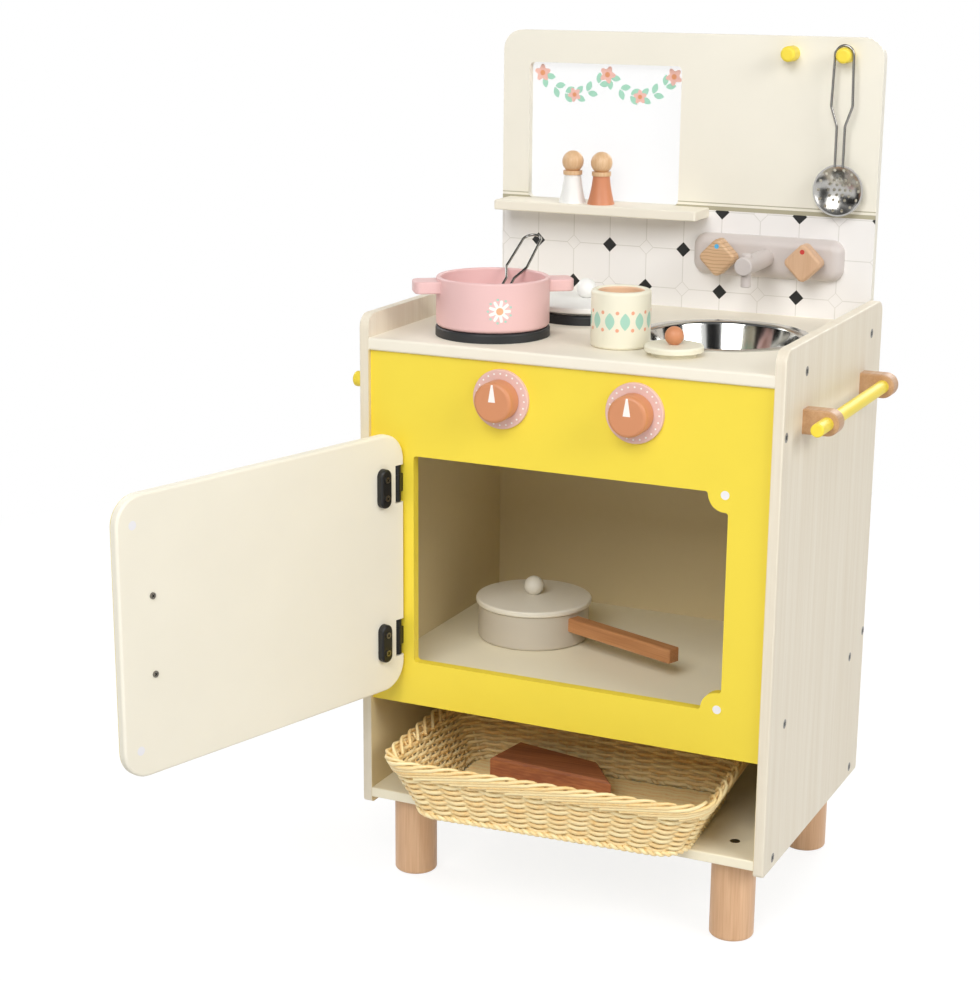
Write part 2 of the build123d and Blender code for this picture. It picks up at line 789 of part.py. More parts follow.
rail_front_y = -rail_spacing / 2 - bracket_thickness / 2 - rail_front_overhang
rail_back_y = rail_spacing / 2 + bracket_thickness / 2
with BuildPart() as rail_bar:
    with BuildSketch(upright(rail_back_y)):
        with Locations((rail_x, rail_z)):
            Circle(rail_radius)
    extrude(amount=rail_back_y - rail_front_y)
    fillet(rail_bar.edges().sort_by(Axis.Y)[0], radius=rail_edge_radius)
save(rail_bar, "towel_rail_bar")

# Magnets let into the front panel
with BuildPart() as frame_magnets:
    with BuildSketch(upright(panel_face_y)):
        with Locations(*[(magnet_x, z) for z in magnet_zs]):
            Circle(magnet_radius)
    extrude(amount=-magnet_depth)
save(frame_magnets, "frame_magnets")

# Frame side of the hinges: a knuckle on an arm through the panel, with a flange against the panel's back
with BuildPart() as frame_knuckles:
    for hinge_z in hinge_zs:
        with BuildSketch(Plane.XY.offset(hinge_z - frame_knuckle_height / 2)):
            with Locations((hinge_x, hinge_y)):
                Circle(knuckle_radius)
            with Locations((hinge_x, (hinge_y + panel_back_y) / 2)):
                Rectangle(arm_width, panel_back_y - hinge_y)
        extrude(amount=frame_knuckle_height)
    with BuildSketch(upright(panel_back_y + flange_thickness)):
        with Locations(*[(hinge_x, z) for z in hinge_zs]):
            Rectangle(flange_width, flange_height)
    extrude(amount=flange_thickness)
    with BuildSketch(Plane.XY.offset(hinge_zs[0] - hinge_height)):
        with Locations((hinge_x, hinge_y)):
            Circle(pin_radius)
    extrude(amount=hinge_spacing + 2 * hinge_height, mode=Mode.SUBTRACT)
save(frame_knuckles, "frame_hinge_knuckles")

with BuildPart() as hinge_pins:
    for hinge_z in hinge_zs:
        with BuildSketch(Plane.XY.offset(hinge_z - hinge_height / 2)):
            with Locations((hinge_x, hinge_y)):
                Circle(pin_radius)
        extrude(amount=hinge_height)
save(hinge_pins, "hinge_pins")

# The open door's own frame: u along the door from the hinge axis, v towards the oven side, z up.
# Sketches on its inner face have u across and z up, and extruding goes to the outer face.
door_turn = radians(door_open_angle)
door_frame = Plane((hinge_x, hinge_y, 0), x_dir=(cos(door_turn), -sin(door_turn), 0))
inner_face = Plane(door_frame.origin + door_frame.y_dir * (door_thickness / 2), x_dir=door_frame.x_dir,
                   z_dir=-door_frame.y_dir)
outer_face = inner_face.offset(door_thickness)
door_mid_u = door_width / 2 - hinge_inset
magnet_u = magnet_x - hinge_x
handle_u = door_width - hinge_inset - handle_inset
plate_places = [(plate_centre_u, z) for z in hinge_zs]
hinge_screws = [(plate_centre_u, z + side * screw_spacing / 2) for z in hinge_zs for side in (-1, 1)]
handle_screws = [(handle_u, opening_mid_z + side * handle_screw_spacing / 2) for side in (-1, 1)]
notch_height = hinge_height + 2 * notch_clearance
pocket_half = tongue_thickness / 2 + tongue_clearance

with BuildPart() as door_panel:
    with BuildSketch(inner_face):
        with Locations((door_mid_u, opening_mid_z)):
            RectangleRounded(door_width, door_height, door_corner_radius)
    extrude(amount=door_thickness)
    fillet(door_panel.faces().sort_by(SortBy.AREA)[-2:].edges(), radius=door_edge_radius)
    with BuildSketch(inner_face):
        with Locations(*[(notch_depth / 2 - hinge_inset, z) for z in hinge_zs]):
            Rectangle(notch_depth, notch_height)
    extrude(amount=door_thickness, mode=Mode.SUBTRACT)
    with BuildSketch(inner_face.offset(door_thickness / 2 - pocket_half)):
        with Locations(*[((tongue_end + tongue_clearance) / 2, z) for z in hinge_zs]):
            Rectangle(tongue_end + tongue_clearance, hinge_height + 2 * tongue_clearance)
    extrude(amount=2 * pocket_half, mode=Mode.SUBTRACT)
    with BuildSketch(inner_face):
        with Locations(*[(magnet_u, z) for z in magnet_zs]):
            Circle(magnet_radius)
    extrude(amount=magnet_depth, mode=Mode.SUBTRACT)
    with BuildSketch(inner_face):
        with Locations(*hinge_screws):
            Circle(screw_radius + screw_clearance)
    extrude(amount=door_thickness / 2 + pocket_half, mode=Mode.SUBTRACT)
    with BuildSketch(inner_face):
        with Locations(*handle_screws):
            Circle(screw_radius + screw_clearance)
    extrude(amount=door_thickness, mode=Mode.SUBTRACT)
save(door_panel, "door_panel")

with BuildPart() as door_knuckles:
    door_knuckle_height = (hinge_height - frame_knuckle_height) / 2 - knuckle_gap
    for hinge_z in hinge_zs:
        for knuckle_z in (hinge_z - hinge_height / 2, hinge_z + hinge_height / 2 - door_knuckle_height):
            with BuildSketch(door_frame.offset(knuckle_z)):
                Circle(knuckle_radius)
                with Locations((tongue_start / 2, 0)):
                    Rectangle(tongue_start, tongue_thickness)
            extrude(amount=door_knuckle_height)
        with BuildSketch(door_frame.offset(hinge_z - hinge_height / 2)):
            with Locations(((tongue_start + tongue_end) / 2, 0)):
                Rectangle(tongue_end - tongue_start, tongue_thickness)
        extrude(amount=hinge_height)
    with BuildSketch(door_frame.offset(hinge_zs[0] - hinge_height)):
        Circle(pin_radius + pin_clearance)
    extrude(amount=hinge_spacing + 2 * hinge_height, mode=Mode.SUBTRACT)
    with BuildSketch(inner_face):
        with Locations(*hinge_screws):
            Circle(screw_radius + screw_clearance)
    extrude(amount=door_thickness, mode=Mode.SUBTRACT)
save(door_knuckles, "door_hinge_knuckles")

with BuildPart() as hinge_plates:
    with BuildSketch(inner_face):
        with Locations(*plate_places):
            SlotOverall(plate_height, plate_width, rotation=90)
    extrude(amount=-plate_thickness)
    plate_tops = hinge_plates.faces().filter_by(Axis(door_frame.origin, door_frame.y_dir))
    away_from_door = Axis(door_frame.origin, door_frame.y_dir)
    fillet(plate_tops.sort_by(away_from_door)[-2:].edges(), radius=plate_edge_radius)
    with BuildSketch(inner_face):
        with Locations(*hinge_screws):
            Circle(screw_radius + screw_clearance)
    extrude(amount=-plate_thickness, mode=Mode.SUBTRACT)
save(hinge_plates, "hinge_cover_plates")

with BuildPart() as door_screws:
    for heads_plane, places, length in (
        (inner_face.offset(-plate_thickness), hinge_screws, plate_thickness + door_thickness / 2),
        (inner_face, handle_screws, door_thickness + handle_screw_bite),
    ):
        with BuildSketch(heads_plane):
            with Locations(*places):
                Circle(screw_radius)
        extrude(amount=length)
        with BuildSketch(heads_plane):
            with Locations(*places):
                Circle(screw_head_radius)
        extrude(amount=-screw_head_height)
save(door_screws, "door_screws")

with BuildPart() as door_magnets:
    with BuildSketch(inner_face):
        with Locations(*[(magnet_u, z) for z in magnet_zs]):
            Circle(magnet_radius)
    extrude(amount=magnet_depth)
save(door_magnets, "door_magnets")

# Door handle: a wooden bridge with a finger hollow
handle_side = Plane(outer_face.from_local_coords((handle_u - handle_width / 2, opening_mid_z, 0)),
                    x_dir=outer_face.z_dir, z_dir=outer_face.x_dir)
with BuildPart() as door_handle:
    with BuildSketch(handle_side) as bridge:
        with Locations((handle_projection / 2, 0)):
            Rectangle(handle_projection, handle_length)
        fillet(bridge.vertices().group_by(Axis.X)[-1], radius=handle_grip)
        with Locations(((handle_projection - handle_grip) / 2, 0)):
            Rectangle(handle_projection - handle_grip, handle_length - 2 * handle_foot, mode=Mode.SUBTRACT)
        hollow = [corner for corner in bridge.vertices()
                  if abs(corner.X - (handle_projection - handle_grip)) < handle_grip / 4]
        fillet([corner for corner in hollow if abs(corner.Y) < handle_length / 2 - handle_foot / 2],
               radius=handle_edge_radius)
    extrude(amount=handle_width)
    side_faces = door_handle.faces().filter_by(Axis(door_frame.origin, door_frame.x_dir))
    seat_faces = door_handle.faces().filter_by(
        lambda face: abs(outer_face.to_local_coords(face.center()).Z) < handle_edge_radius / 100)
    fillet([edge for edge in side_faces.edges() if edge not in seat_faces.edges()], radius=handle_edge_radius)
    with BuildSketch(outer_face):
        with Locations(*handle_screws):
            Circle(screw_radius + screw_clearance)
    extrude(amount=handle_screw_bite + screw_clearance, mode=Mode.SUBTRACT)
save(door_handle, "door_handle")

# Sink basin: thin pressed steel with a flat rim on the worktop and a rounded lip into the bowl
with BuildPart() as sink_basin:
    with BuildSketch(turning_plane(sink_x, sink_y, worktop_top_z)) as basin_profile:
        with BuildLine():
            Polyline(
                (sink_rim_radius, 0),
                (sink_bowl_radius, 0),
                (sink_base_radius, -sink_depth),
                (0, -sink_depth),
                (0, sheet_thickness - sink_depth),
                (sink_base_radius - sheet_thickness, sheet_thickness - sink_depth),
                (sink_bowl_radius - sheet_thickness, sheet_thickness),
                (sink_rim_radius, sheet_thickness),
                close=True,
            )
        make_face()
        fillet(corner(basin_profile, sink_bowl_radius, 0), radius=sink_lip_radius)
        fillet(corner(basin_profile, sink_bowl_radius - sheet_thickness, sheet_thickness),
               radius=sink_lip_radius + sheet_thickness)
        fillet(corner(basin_profile, sink_base_radius, -sink_depth),
               radius=sink_corner_radius + sheet_thickness)
        fillet(corner(basin_profile, sink_base_radius - sheet_thickness, sheet_thickness - sink_depth),
               radius=sink_corner_radius)
    revolve(axis=upright_axis(sink_x, sink_y))
save(sink_basin, "sink_basin")

# Pot on the front hob plate, its two side lugs, and its lid lying on the rear hob plate
pot_bore = pot_radius - pot_wall
pot_top_z = hob_top_z + pot_height
pot = vessel(front_hob_x, front_hob_y, hob_top_z, pot_radius, pot_height, pot_bore, pot_floor,
             pot_foot_radius, pot_rim_radius)
save(pot, "pot")

with BuildPart() as pot_lugs:
    for turn in (lug_angle, lug_angle + 180):
        lug_plane = Plane((front_hob_x, front_hob_y, pot_top_z - lug_drop - lug_height),
                          x_dir=(cos(radians(turn)), sin(radians(turn)), 0))
        with BuildSketch(lug_plane) as lug_outline:
            with Locations((pot_radius, 0)):
                Rectangle(2 * lug_length, lug_width)
            fillet(lug_outline.vertices().group_by(Axis.X)[-1], radius=lug_corner_radius)
        extrude(amount=lug_height)
    fillet(pot_lugs.faces().filter_by(Axis.Z).edges(), radius=lug_edge_radius)
    with BuildSketch(Plane.XY.offset(hob_top_z)):
        with Locations((front_hob_x, front_hob_y)):
            Circle(pot_radius)
    extrude(amount=pot_height, mode=Mode.SUBTRACT)
save(pot_lugs, "pot_lugs")

pot_lid = domed_lid(rear_hob_x, rear_hob_y, hob_top_z + lid_plug_height, pot_radius + lid_overhang,
                    pot_bore - lid_plug_clearance)
save(pot_lid, "pot_lid")

# Ladle standing in the pot: its wire handle rests on the far rim and its bowl reaches the pot's floor
ladle_length = wire_length - weld_lap + 2 * ladle_bowl_radius
ladle_rim_y = front_hob_y + ((pot_radius - pot_wall / 2) ** 2 - (wire_spread + ladle_side) ** 2) ** 0.5
ladle_rim_z = pot_top_z + ladle_rest
ladle_sink = ladle_rim_z - hob_top_z - pot_floor - ladle_floor_gap
ladle_rise = ladle_sink / (ladle_length - ladle_above_rim)
ladle_level = (1 - ladle_rise ** 2) ** 0.5
ladle_across = Vector(cos(radians(ladle_turn)), sin(radians(ladle_turn)), 0)
ladle_up = Vector(-sin(radians(ladle_turn)) * ladle_level, cos(radians(ladle_turn)) * ladle_level, ladle_rise)
ladle_rim = Vector(front_hob_x + ladle_side, ladle_rim_y, ladle_rim_z)
ladle_plane = Plane(ladle_rim + ladle_up * ladle_above_rim, x_dir=ladle_across,
                    z_dir=ladle_across.cross(ladle_up))
ladle_bowl_plane = Plane(ladle_plane.origin - ladle_up * (ladle_length - ladle_bowl_radius),
                         x_dir=ladle_plane.x_dir, z_dir=ladle_plane.z_dir)
ladle_handle = wire_handle(ladle_plane)
save(ladle_handle, "ladle_handle")
ladle_bowl = spoon_bowl(ladle_bowl_plane, ladle_bowl_radius, ladle_bowl_depth, ())
save(ladle_bowl, "ladle_bowl")

# Skimmer hanging by its loop from the right peg, its perforated bowl facing the front
skimmer_plane = Plane((peg_xs[1], board_front_y - skimmer_setback, peg_z), x_dir=(1, 0, 0), z_dir=(0, -1, 0))
skimmer_bowl_centre = (0, weld_lap - wire_length - skimmer_bowl_radius, 0)
skimmer_bowl_plane = Plane(skimmer_plane.from_local_coords(skimmer_bowl_centre), x_dir=skimmer_plane.x_dir,
                           z_dir=skimmer_plane.z_dir)
skimmer_handle = wire_handle(skimmer_plane)
save(skimmer_handle, "skimmer_handle")
skimmer_bowl = spoon_bowl(skimmer_bowl_plane, skimmer_bowl_radius, skimmer_bowl_depth,
                          tuple(zip(hole_counts, hole_ring_radii)))
save(skimmer_bowl, "skimmer_bowl")

# Saucepan on the oven floor, with a square handle and a lid
saucepan = vessel(pan_x, pan_y, oven_floor_top_z, pan_radius, pan_height, pan_radius - pan_wall, pan_floor,
                  pan_foot_radius, pan_rim_radius)
save(saucepan, "saucepan")

pan_top_z = oven_floor_top_z + pan_height
with BuildPart() as pan_handle:
    handle_plane = Plane((pan_x, pan_y, pan_top_z - pan_handle_drop - pan_handle_side),
                         x_dir=(cos(radians(pan_handle_angle)), sin(radians(pan_handle_angle)), 0))
    with BuildSketch(handle_plane):
        with Locations((pan_radius, 0)):
            Rectangle(2 * pan_handle_length, pan_handle_side)
    extrude(amount=pan_handle_side)
    chamfer(pan_handle.edges(), length=pan_handle_chamfer)
    with BuildSketch(handle_plane):
        with Locations((-pan_handle_length, 0)):
            Rectangle(2 * pan_handle_length, 2 * pan_handle_side)
        Circle(pan_radius)
    extrude(amount=pan_handle_side, mode=Mode.SUBTRACT)
save(pan_handle, "saucepan_handle")

saucepan_lid = domed_lid(pan_x, pan_y, pan_top_z, pan_radius + lid_overhang,
                         pan_radius - pan_wall - lid_plug_clearance)
save(saucepan_lid, "saucepan_lid")

# Jar, and its lid lying on the worktop with the ball knob up
jar = vessel(jar_x, jar_y, worktop_top_z, jar_radius, jar_height, jar_bore_radius, jar_floor,
             jar_edge_radius, jar_edge_radius)
save(jar, "jar")

jar_lid_top_z = worktop_top_z + jar_plug_height + jar_lid_thickness
with BuildPart() as jar_lid:
    with BuildSketch(Plane.XY.offset(worktop_top_z)):
        with Locations((jar_lid_x, jar_lid_y)):
            Circle(jar_bore_radius - jar_plug_clearance)
    extrude(amount=jar_plug_height)
    with BuildSketch(Plane.XY.offset(worktop_top_z + jar_plug_height)):
        with Locations((jar_lid_x, jar_lid_y)):
            Circle(jar_lid_radius)
    extrude(amount=jar_lid_thickness)
    fillet(jar_lid.edges().filter_by(GeomType.CIRCLE).sort_by(Axis.Z)[-1], radius=jar_lid_edge_radius)
save(jar_lid, "jar_lid")

with BuildPart() as jar_lid_knob:
    with Locations((jar_lid_x, jar_lid_y, jar_lid_top_z + jar_knob_radius - jar_knob_sink)):
        Sphere(jar_knob_radius)
    split(bisect_by=Plane.XY.offset(jar_lid_top_z), keep=Keep.TOP)
save(jar_lid_knob, "jar_lid_knob")

# Shakers on the window shelf: a tapered body and a round head on a collar
shaker_neck_z = window_bottom_z + shaker_body_height
shaker_mid_radius = (shaker_base_radius + shaker_neck_radius) / 2 - shaker_waist
for x, shaker_name in zip(shaker_xs, ("pepper", "salt")):
    with BuildPart() as shaker_body:
        with BuildSketch(turning_plane(x, shaker_y, window_bottom_z)):
            with BuildLine():
                Polyline((shaker_base_radius, 0), (0, 0), (0, shaker_body_height),
                         (shaker_neck_radius, shaker_body_height))
                ThreePointArc((shaker_base_radius, 0), (shaker_mid_radius, shaker_body_height / 2),
                              (shaker_neck_radius, shaker_body_height))
            make_face()
        revolve(axis=upright_axis(x, shaker_y))
    save(shaker_body, f"{shaker_name}_body")

    with BuildPart() as shaker_head:
        with BuildSketch(Plane.XY.offset(shaker_neck_z)):
            with Locations((x, shaker_y)):
                Circle(collar_radius)
        extrude(amount=collar_height)
        with Locations((x, shaker_y, shaker_neck_z + head_centre_rise)):
            Sphere(head_radius)
    save(shaker_head, f"{shaker_name}_head")

# Basket: flared sides and a raised band round the rim
basket_plane = Plane((basket_x, basket_y, bottom_shelf_top_z),
                     x_dir=(cos(radians(basket_turn)), sin(radians(basket_turn)), 0))
wall_rim_width = basket_rim_width - 2 * basket_band_stand
wall_rim_depth = basket_rim_depth - 2 * basket_band_stand
band_share = 1 - basket_band_height / basket_height
band_width = basket_base_width + (wall_rim_width - basket_base_width) * band_share + 2 * basket_band_stand
band_depth = basket_base_depth + (wall_rim_depth - basket_base_depth) * band_share + 2 * basket_band_stand
with BuildPart() as basket:
    with BuildSketch(basket_plane):
        RectangleRounded(basket_base_width, basket_base_depth, basket_base_corner_radius)
    with BuildSketch(basket_plane.offset(basket_height)):
        RectangleRounded(wall_rim_width, wall_rim_depth, basket_corner_radius)
    loft()
    with BuildSketch(basket_plane.offset(basket_height - basket_band_height)):
        RectangleRounded(band_width, band_depth, basket_corner_radius)
    with BuildSketch(basket_plane.offset(basket_height)):
        RectangleRounded(basket_rim_width, basket_rim_depth, basket_corner_radius)
    loft()
    with BuildSketch(basket_plane.offset(basket_floor)):
        RectangleRounded(basket_base_width - 2 * basket_wall, basket_base_depth - 2 * basket_wall,
                         basket_base_corner_radius - basket_wall)
    with BuildSketch(basket_plane.offset(basket_height)):
        RectangleRounded(wall_rim_width - 2 * basket_wall, wall_rim_depth - 2 * basket_wall,
                         basket_corner_radius - basket_wall)
    loft(mode=Mode.SUBTRACT)
save(basket, "basket")

# Wooden block lying in the basket
block_outline = [(0, 0), (block_front_length, 0), (block_left_slant + block_back_length, block_right_width),
                 (block_left_slant, block_left_width)]
with BuildPart() as wooden_block:
    with BuildSketch(basket_plane.offset(basket_floor)):
        with Locations(Location((block_x, block_y, 0), (0, 0, block_turn))):
            Polygon(*block_outline, align=None)
    extrude(amount=block_height)
    chamfer(wooden_block.faces().sort_by(Axis.Z)[-1].edges(), length=block_chamfer)
save(wooden_block, "wooden_block")
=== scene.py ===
import json
import math

import bmesh
import bpy
from mathutils import Matrix, Vector


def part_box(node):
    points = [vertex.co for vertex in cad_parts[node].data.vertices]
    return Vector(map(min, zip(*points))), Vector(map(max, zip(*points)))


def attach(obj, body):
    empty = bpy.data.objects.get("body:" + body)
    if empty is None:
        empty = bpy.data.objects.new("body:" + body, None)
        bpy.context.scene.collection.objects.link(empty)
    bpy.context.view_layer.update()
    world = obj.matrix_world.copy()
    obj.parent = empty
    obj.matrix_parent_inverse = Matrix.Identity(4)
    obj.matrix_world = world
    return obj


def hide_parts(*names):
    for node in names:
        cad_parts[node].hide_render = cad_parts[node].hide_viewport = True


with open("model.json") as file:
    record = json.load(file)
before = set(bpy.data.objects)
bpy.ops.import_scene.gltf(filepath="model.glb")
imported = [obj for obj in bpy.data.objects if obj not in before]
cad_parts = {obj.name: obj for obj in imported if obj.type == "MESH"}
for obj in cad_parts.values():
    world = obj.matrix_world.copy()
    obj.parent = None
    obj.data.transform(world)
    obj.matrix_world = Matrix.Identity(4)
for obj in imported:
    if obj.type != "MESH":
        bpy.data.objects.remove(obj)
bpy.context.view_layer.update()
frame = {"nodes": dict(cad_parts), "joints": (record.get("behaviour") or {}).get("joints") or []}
nodes = frame["nodes"]
MM = 0.001


# Small helpers

def colour(code, gain=1.0):
    """An sRGB hex colour as the linear values that a shader takes, with an optional gain."""
    parts = [int(code[i:i + 2], 16) / 255 for i in (0, 2, 4)]
    linear = [p / 12.92 if p <= 0.04045 else ((p + 0.055) / 1.055) ** 2.4 for p in parts]
    return [gain * p for p in linear] + [1.0]


def put(tree, kind, inputs=None, **settings):
    """Add one node with its settings. An input takes a value, or a node or socket to link from."""
    node = tree.nodes.new(kind)
    for name, value in settings.items():
        setattr(node, name, value)
    for key, value in (inputs or {}).items():
        if isinstance(value, bpy.types.Node):
            tree.links.new(value.outputs[0], node.inputs[key])
        elif isinstance(value, bpy.types.NodeSocket):
            tree.links.new(value, node.inputs[key])
        else:
            node.inputs[key].default_value = value
    return node


def open_material(name):
    """A new material, its empty tree and its Object coordinates."""
    material = bpy.data.materials.new(name)
    material.use_nodes = True
    tree = material.node_tree
    tree.nodes.clear()
    return material, tree, put(tree, "ShaderNodeTexCoord").outputs["Object"]


def close_material(material, tree, inputs):
    """Finish a material with one Principled shader."""
    put(tree, "ShaderNodeOutputMaterial", {"Surface": put(tree, "ShaderNodeBsdfPrincipled", inputs)})
    return material


def looked_at(tree):
    """A mask that is 1 to the eye, in mirrors and through glass, and 0 to the light that fills the scene."""
    rays = put(tree, "ShaderNodeLightPath").outputs
    mask = rays["Is Camera Ray"]
    for ray in ("Is Glossy Ray", "Is Transmission Ray"):
        mask = put(tree, "ShaderNodeMath", {0: mask, 1: rays[ray]}, operation="MAXIMUM")
    return mask


def dress(material, *names):
    """Give CAD nodes one material."""
    for name in names:
        mesh = nodes[name].data
        mesh.materials.clear()
        mesh.materials.append(material)
        mesh.polygons.foreach_set("material_index", [0] * len(mesh.polygons))


FLAT_WITHIN = 0.1


def tops(name, way):
    """The middle of the face that lies furthest along a direction, for each solid of a CAD node."""
    mesh = nodes[name].data
    group = {}

    def find(key):
        while group[key] != key:
            group[key] = group[group[key]]
            key = group[key]
        return key

    keys = [tuple(round(c, 5) for c in v.co) for v in mesh.vertices]
    for key in keys:
        group.setdefault(key, key)
    for face in mesh.polygons:
        first = find(keys[face.vertices[0]])
        for index in face.vertices[1:]:
            group[find(keys[index])] = first
    members = {}
    for key in group:
        members.setdefault(find(key), []).append(Vector(key))
    middles = []
    for points in members.values():
        reach = max(point.dot(way) for point in points)
        face = [point for point in points if reach - point.dot(way) < FLAT_WITHIN * MM]
        middles.append(sum(face, Vector()) / len(face))
    return middles


def carry(mesh, name, values, kind="FLOAT"):
    """Give each point of a guide mesh a value that a Geometry Nodes tree reads by name."""
    field = "vector" if kind == "FLOAT_VECTOR" else "value"
    mesh.attributes.new(name, kind, "POINT").data.foreach_set(field, values)


def grown(name, guide, tree, values):
    """Run a Geometry Nodes tree on a guide mesh and keep the result as a plain mesh."""
    source = bpy.data.objects.new(name + "_guide", guide)
    bpy.context.scene.collection.objects.link(source)
    modifier = source.modifiers.new("grow", "NODES")
    modifier.node_group = tree
    for item in tree.interface.items_tree:
        if item.in_out == "INPUT" and item.name in values:
            modifier[item.identifier] = values[item.name]
    evaluated = source.evaluated_get(bpy.context.evaluated_depsgraph_get())
    mesh = bpy.data.meshes.new_from_object(evaluated)
    mesh.name = name
    source.modifiers.remove(modifier)
    bpy.data.objects.remove(source)
    return mesh


def joined(name, meshes):
    """One mesh from several of the same material."""
    whole = bmesh.new()
    for mesh in meshes:
        whole.from_mesh(mesh)
    mesh = meshes[0].copy()
    mesh.name = name
    whole.to_mesh(mesh)
    whole.free()
    return mesh


def seat(name, mesh, body, slot):
    """Put a finished mesh in the scene, on its body."""
    piece = bpy.data.objects.new(name, mesh)
    bpy.context.scene.collection.objects.link(piece)
    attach(piece, body)
    return piece


# Camera at the photograph's viewing angle

AZIMUTH = math.radians(26.13)
ELEVATION = math.radians(16.0)
ROLL = math.radians(0.19)
CAMERA_PLACE = Vector((749.87, -1905.19, 916.34)) * MM
FOCAL_PIXELS = 2130.24
LONG_SIDE = 981
AXIS_SHIFT = (-35.72, 57.18)

back = Vector((math.sin(AZIMUTH) * math.cos(ELEVATION), -math.cos(AZIMUTH) * math.cos(ELEVATION),
               math.sin(ELEVATION)))
right = Vector((0, 0, 1)).cross(back).normalized()
up = back.cross(right)
rolled_right = math.cos(ROLL) * right + math.sin(ROLL) * up
rolled_up = math.cos(ROLL) * up - math.sin(ROLL) * right
lens = bpy.data.cameras.new("camera")
lens.sensor_width = 36
lens.lens = FOCAL_PIXELS / LONG_SIDE * lens.sensor_width
lens.shift_x = -AXIS_SHIFT[0] / LONG_SIDE
lens.shift_y = AXIS_SHIFT[1] / LONG_SIDE
lens.clip_end = 200
camera = bpy.data.objects.new("camera", lens)
bpy.context.scene.collection.objects.link(camera)
turn = Matrix((rolled_right, rolled_up, back)).transposed().to_4x4()
camera.matrix_world = Matrix.Translation(CAMERA_PLACE) @ turn
bpy.context.scene.camera = camera
bpy.context.scene.view_settings.view_transform = "Standard"


# Studio light: a faint dome and four softboxes, the strongest above the front

def softbox(name, place, aim, size, watts):
    """A square area lamp that faces a point."""
    lamp = bpy.data.lights.new(name, "AREA")
    lamp.shape = "SQUARE"
    lamp.size = size
    lamp.energy = watts
    holder = bpy.data.objects.new(name, lamp)
    bpy.context.scene.collection.objects.link(holder)
    holder.location = place
    holder.rotation_euler = (Vector(aim) - Vector(place)).to_track_quat("-Z", "Y").to_euler()


MIDDLE = (0, 0, 0.4)
softbox("key_softbox", (0.2, -2.38, 2.18), MIDDLE, 1.6, 52)
softbox("right_softbox", (2.6, -0.9, 2.0), MIDDLE, 1.4, 40)
softbox("back_softbox", (0.5, 2.6, 2.0), MIDDLE, 1.6, 34)
softbox("left_softbox", (-2.6, 0.7, 1.8), MIDDLE, 1.4, 30)

world = bpy.data.worlds.new("studio")
bpy.context.scene.world = world
world.use_nodes = True
sky = world.node_tree
sky.nodes.clear()
ZENITH_STRENGTH = 0.3
HORIZON_STRENGTH = 0.24
DOME_TOP = 0.9
WALL_TOP = 0.42
CEILING_START = WALL_TOP + 0.2
CEILING_STRENGTH = 0.12
sky_axes = put(sky, "ShaderNodeSeparateXYZ", {0: put(sky, "ShaderNodeTexCoord").outputs["Generated"]})
rise = put(sky, "ShaderNodeMapRange", {0: sky_axes.outputs[2], 1: 0.0, 2: DOME_TOP, 3: HORIZON_STRENGTH,
                                       4: ZENITH_STRENGTH})
dome = put(sky, "ShaderNodeBackground", {"Color": colour("FFFFFF"), "Strength": rise})
wall_end = put(sky, "ShaderNodeMapRange", {0: sky_axes.outputs[2], 1: WALL_TOP, 2: CEILING_START, 3: 1.0,
                                           4: CEILING_STRENGTH})
backdrop = put(sky, "ShaderNodeBackground", {"Color": colour("FFFFFF"), "Strength": wall_end})
put(sky, "ShaderNodeOutputWorld",
    {"Surface": put(sky, "ShaderNodeMixShader", {0: looked_at(sky), 1: dome, 2: backdrop})})

FLOOR_RADIUS = 60
FLOOR_SIDES = 64
ring = [(FLOOR_RADIUS * math.cos(angle), FLOOR_RADIUS * math.sin(angle), 0)
        for angle in (math.tau * side / FLOOR_SIDES for side in range(FLOOR_SIDES))]
floor_mesh = bpy.data.meshes.new("studio_floor")
floor_mesh.from_pydata(ring, [], [list(range(FLOOR_SIDES))])
floor = bpy.data.objects.new("studio_floor", floor_mesh)
bpy.context.scene.collection.objects.link(floor)

# White paper sweep: to the eye it is white, with the object's soft shadow near it
SHADOW_START = 0.4
SHADOW_REACH = 1.6
paper, sweep, sweep_place = open_material("white_paper_sweep")
plain = put(sweep, "ShaderNodeBsdfDiffuse", {"Color": colour("DCDCDC")})
shadowed = put(sweep, "ShaderNodeBsdfDiffuse", {"Color": colour("8A8A8A")})
glow = put(sweep, "ShaderNodeEmission", {"Color": colour("FFFFFF"), "Strength": 0.8})
pale = put(sweep, "ShaderNodeAddShader", {0: shadowed, 1: glow})
blank = put(sweep, "ShaderNodeEmission", {"Color": colour("FFFFFF"), "Strength": 1.0})
spread = put(sweep, "ShaderNodeVectorMath", {0: sweep_place}, operation="LENGTH")
far = put(sweep, "ShaderNodeMapRange", {0: spread.outputs["Value"], 1: SHADOW_START, 2: SHADOW_REACH})
faded = put(sweep, "ShaderNodeMixShader", {0: far, 1: pale, 2: blank})
put(sweep, "ShaderNodeOutputMaterial",
    {"Surface": put(sweep, "ShaderNodeMixShader", {0: looked_at(sweep), 1: plain, 2: faded})})
floor_mesh.materials.append(paper)

# Black cards that only metal and gloss see, so that polished steel has something dark to show
card_black, card_tree = open_material("black_card")[:2]
put(card_tree, "ShaderNodeOutputMaterial",
    {"Surface": put(card_tree, "ShaderNodeBsdfDiffuse", {"Color": colour("0C0C0C")})})


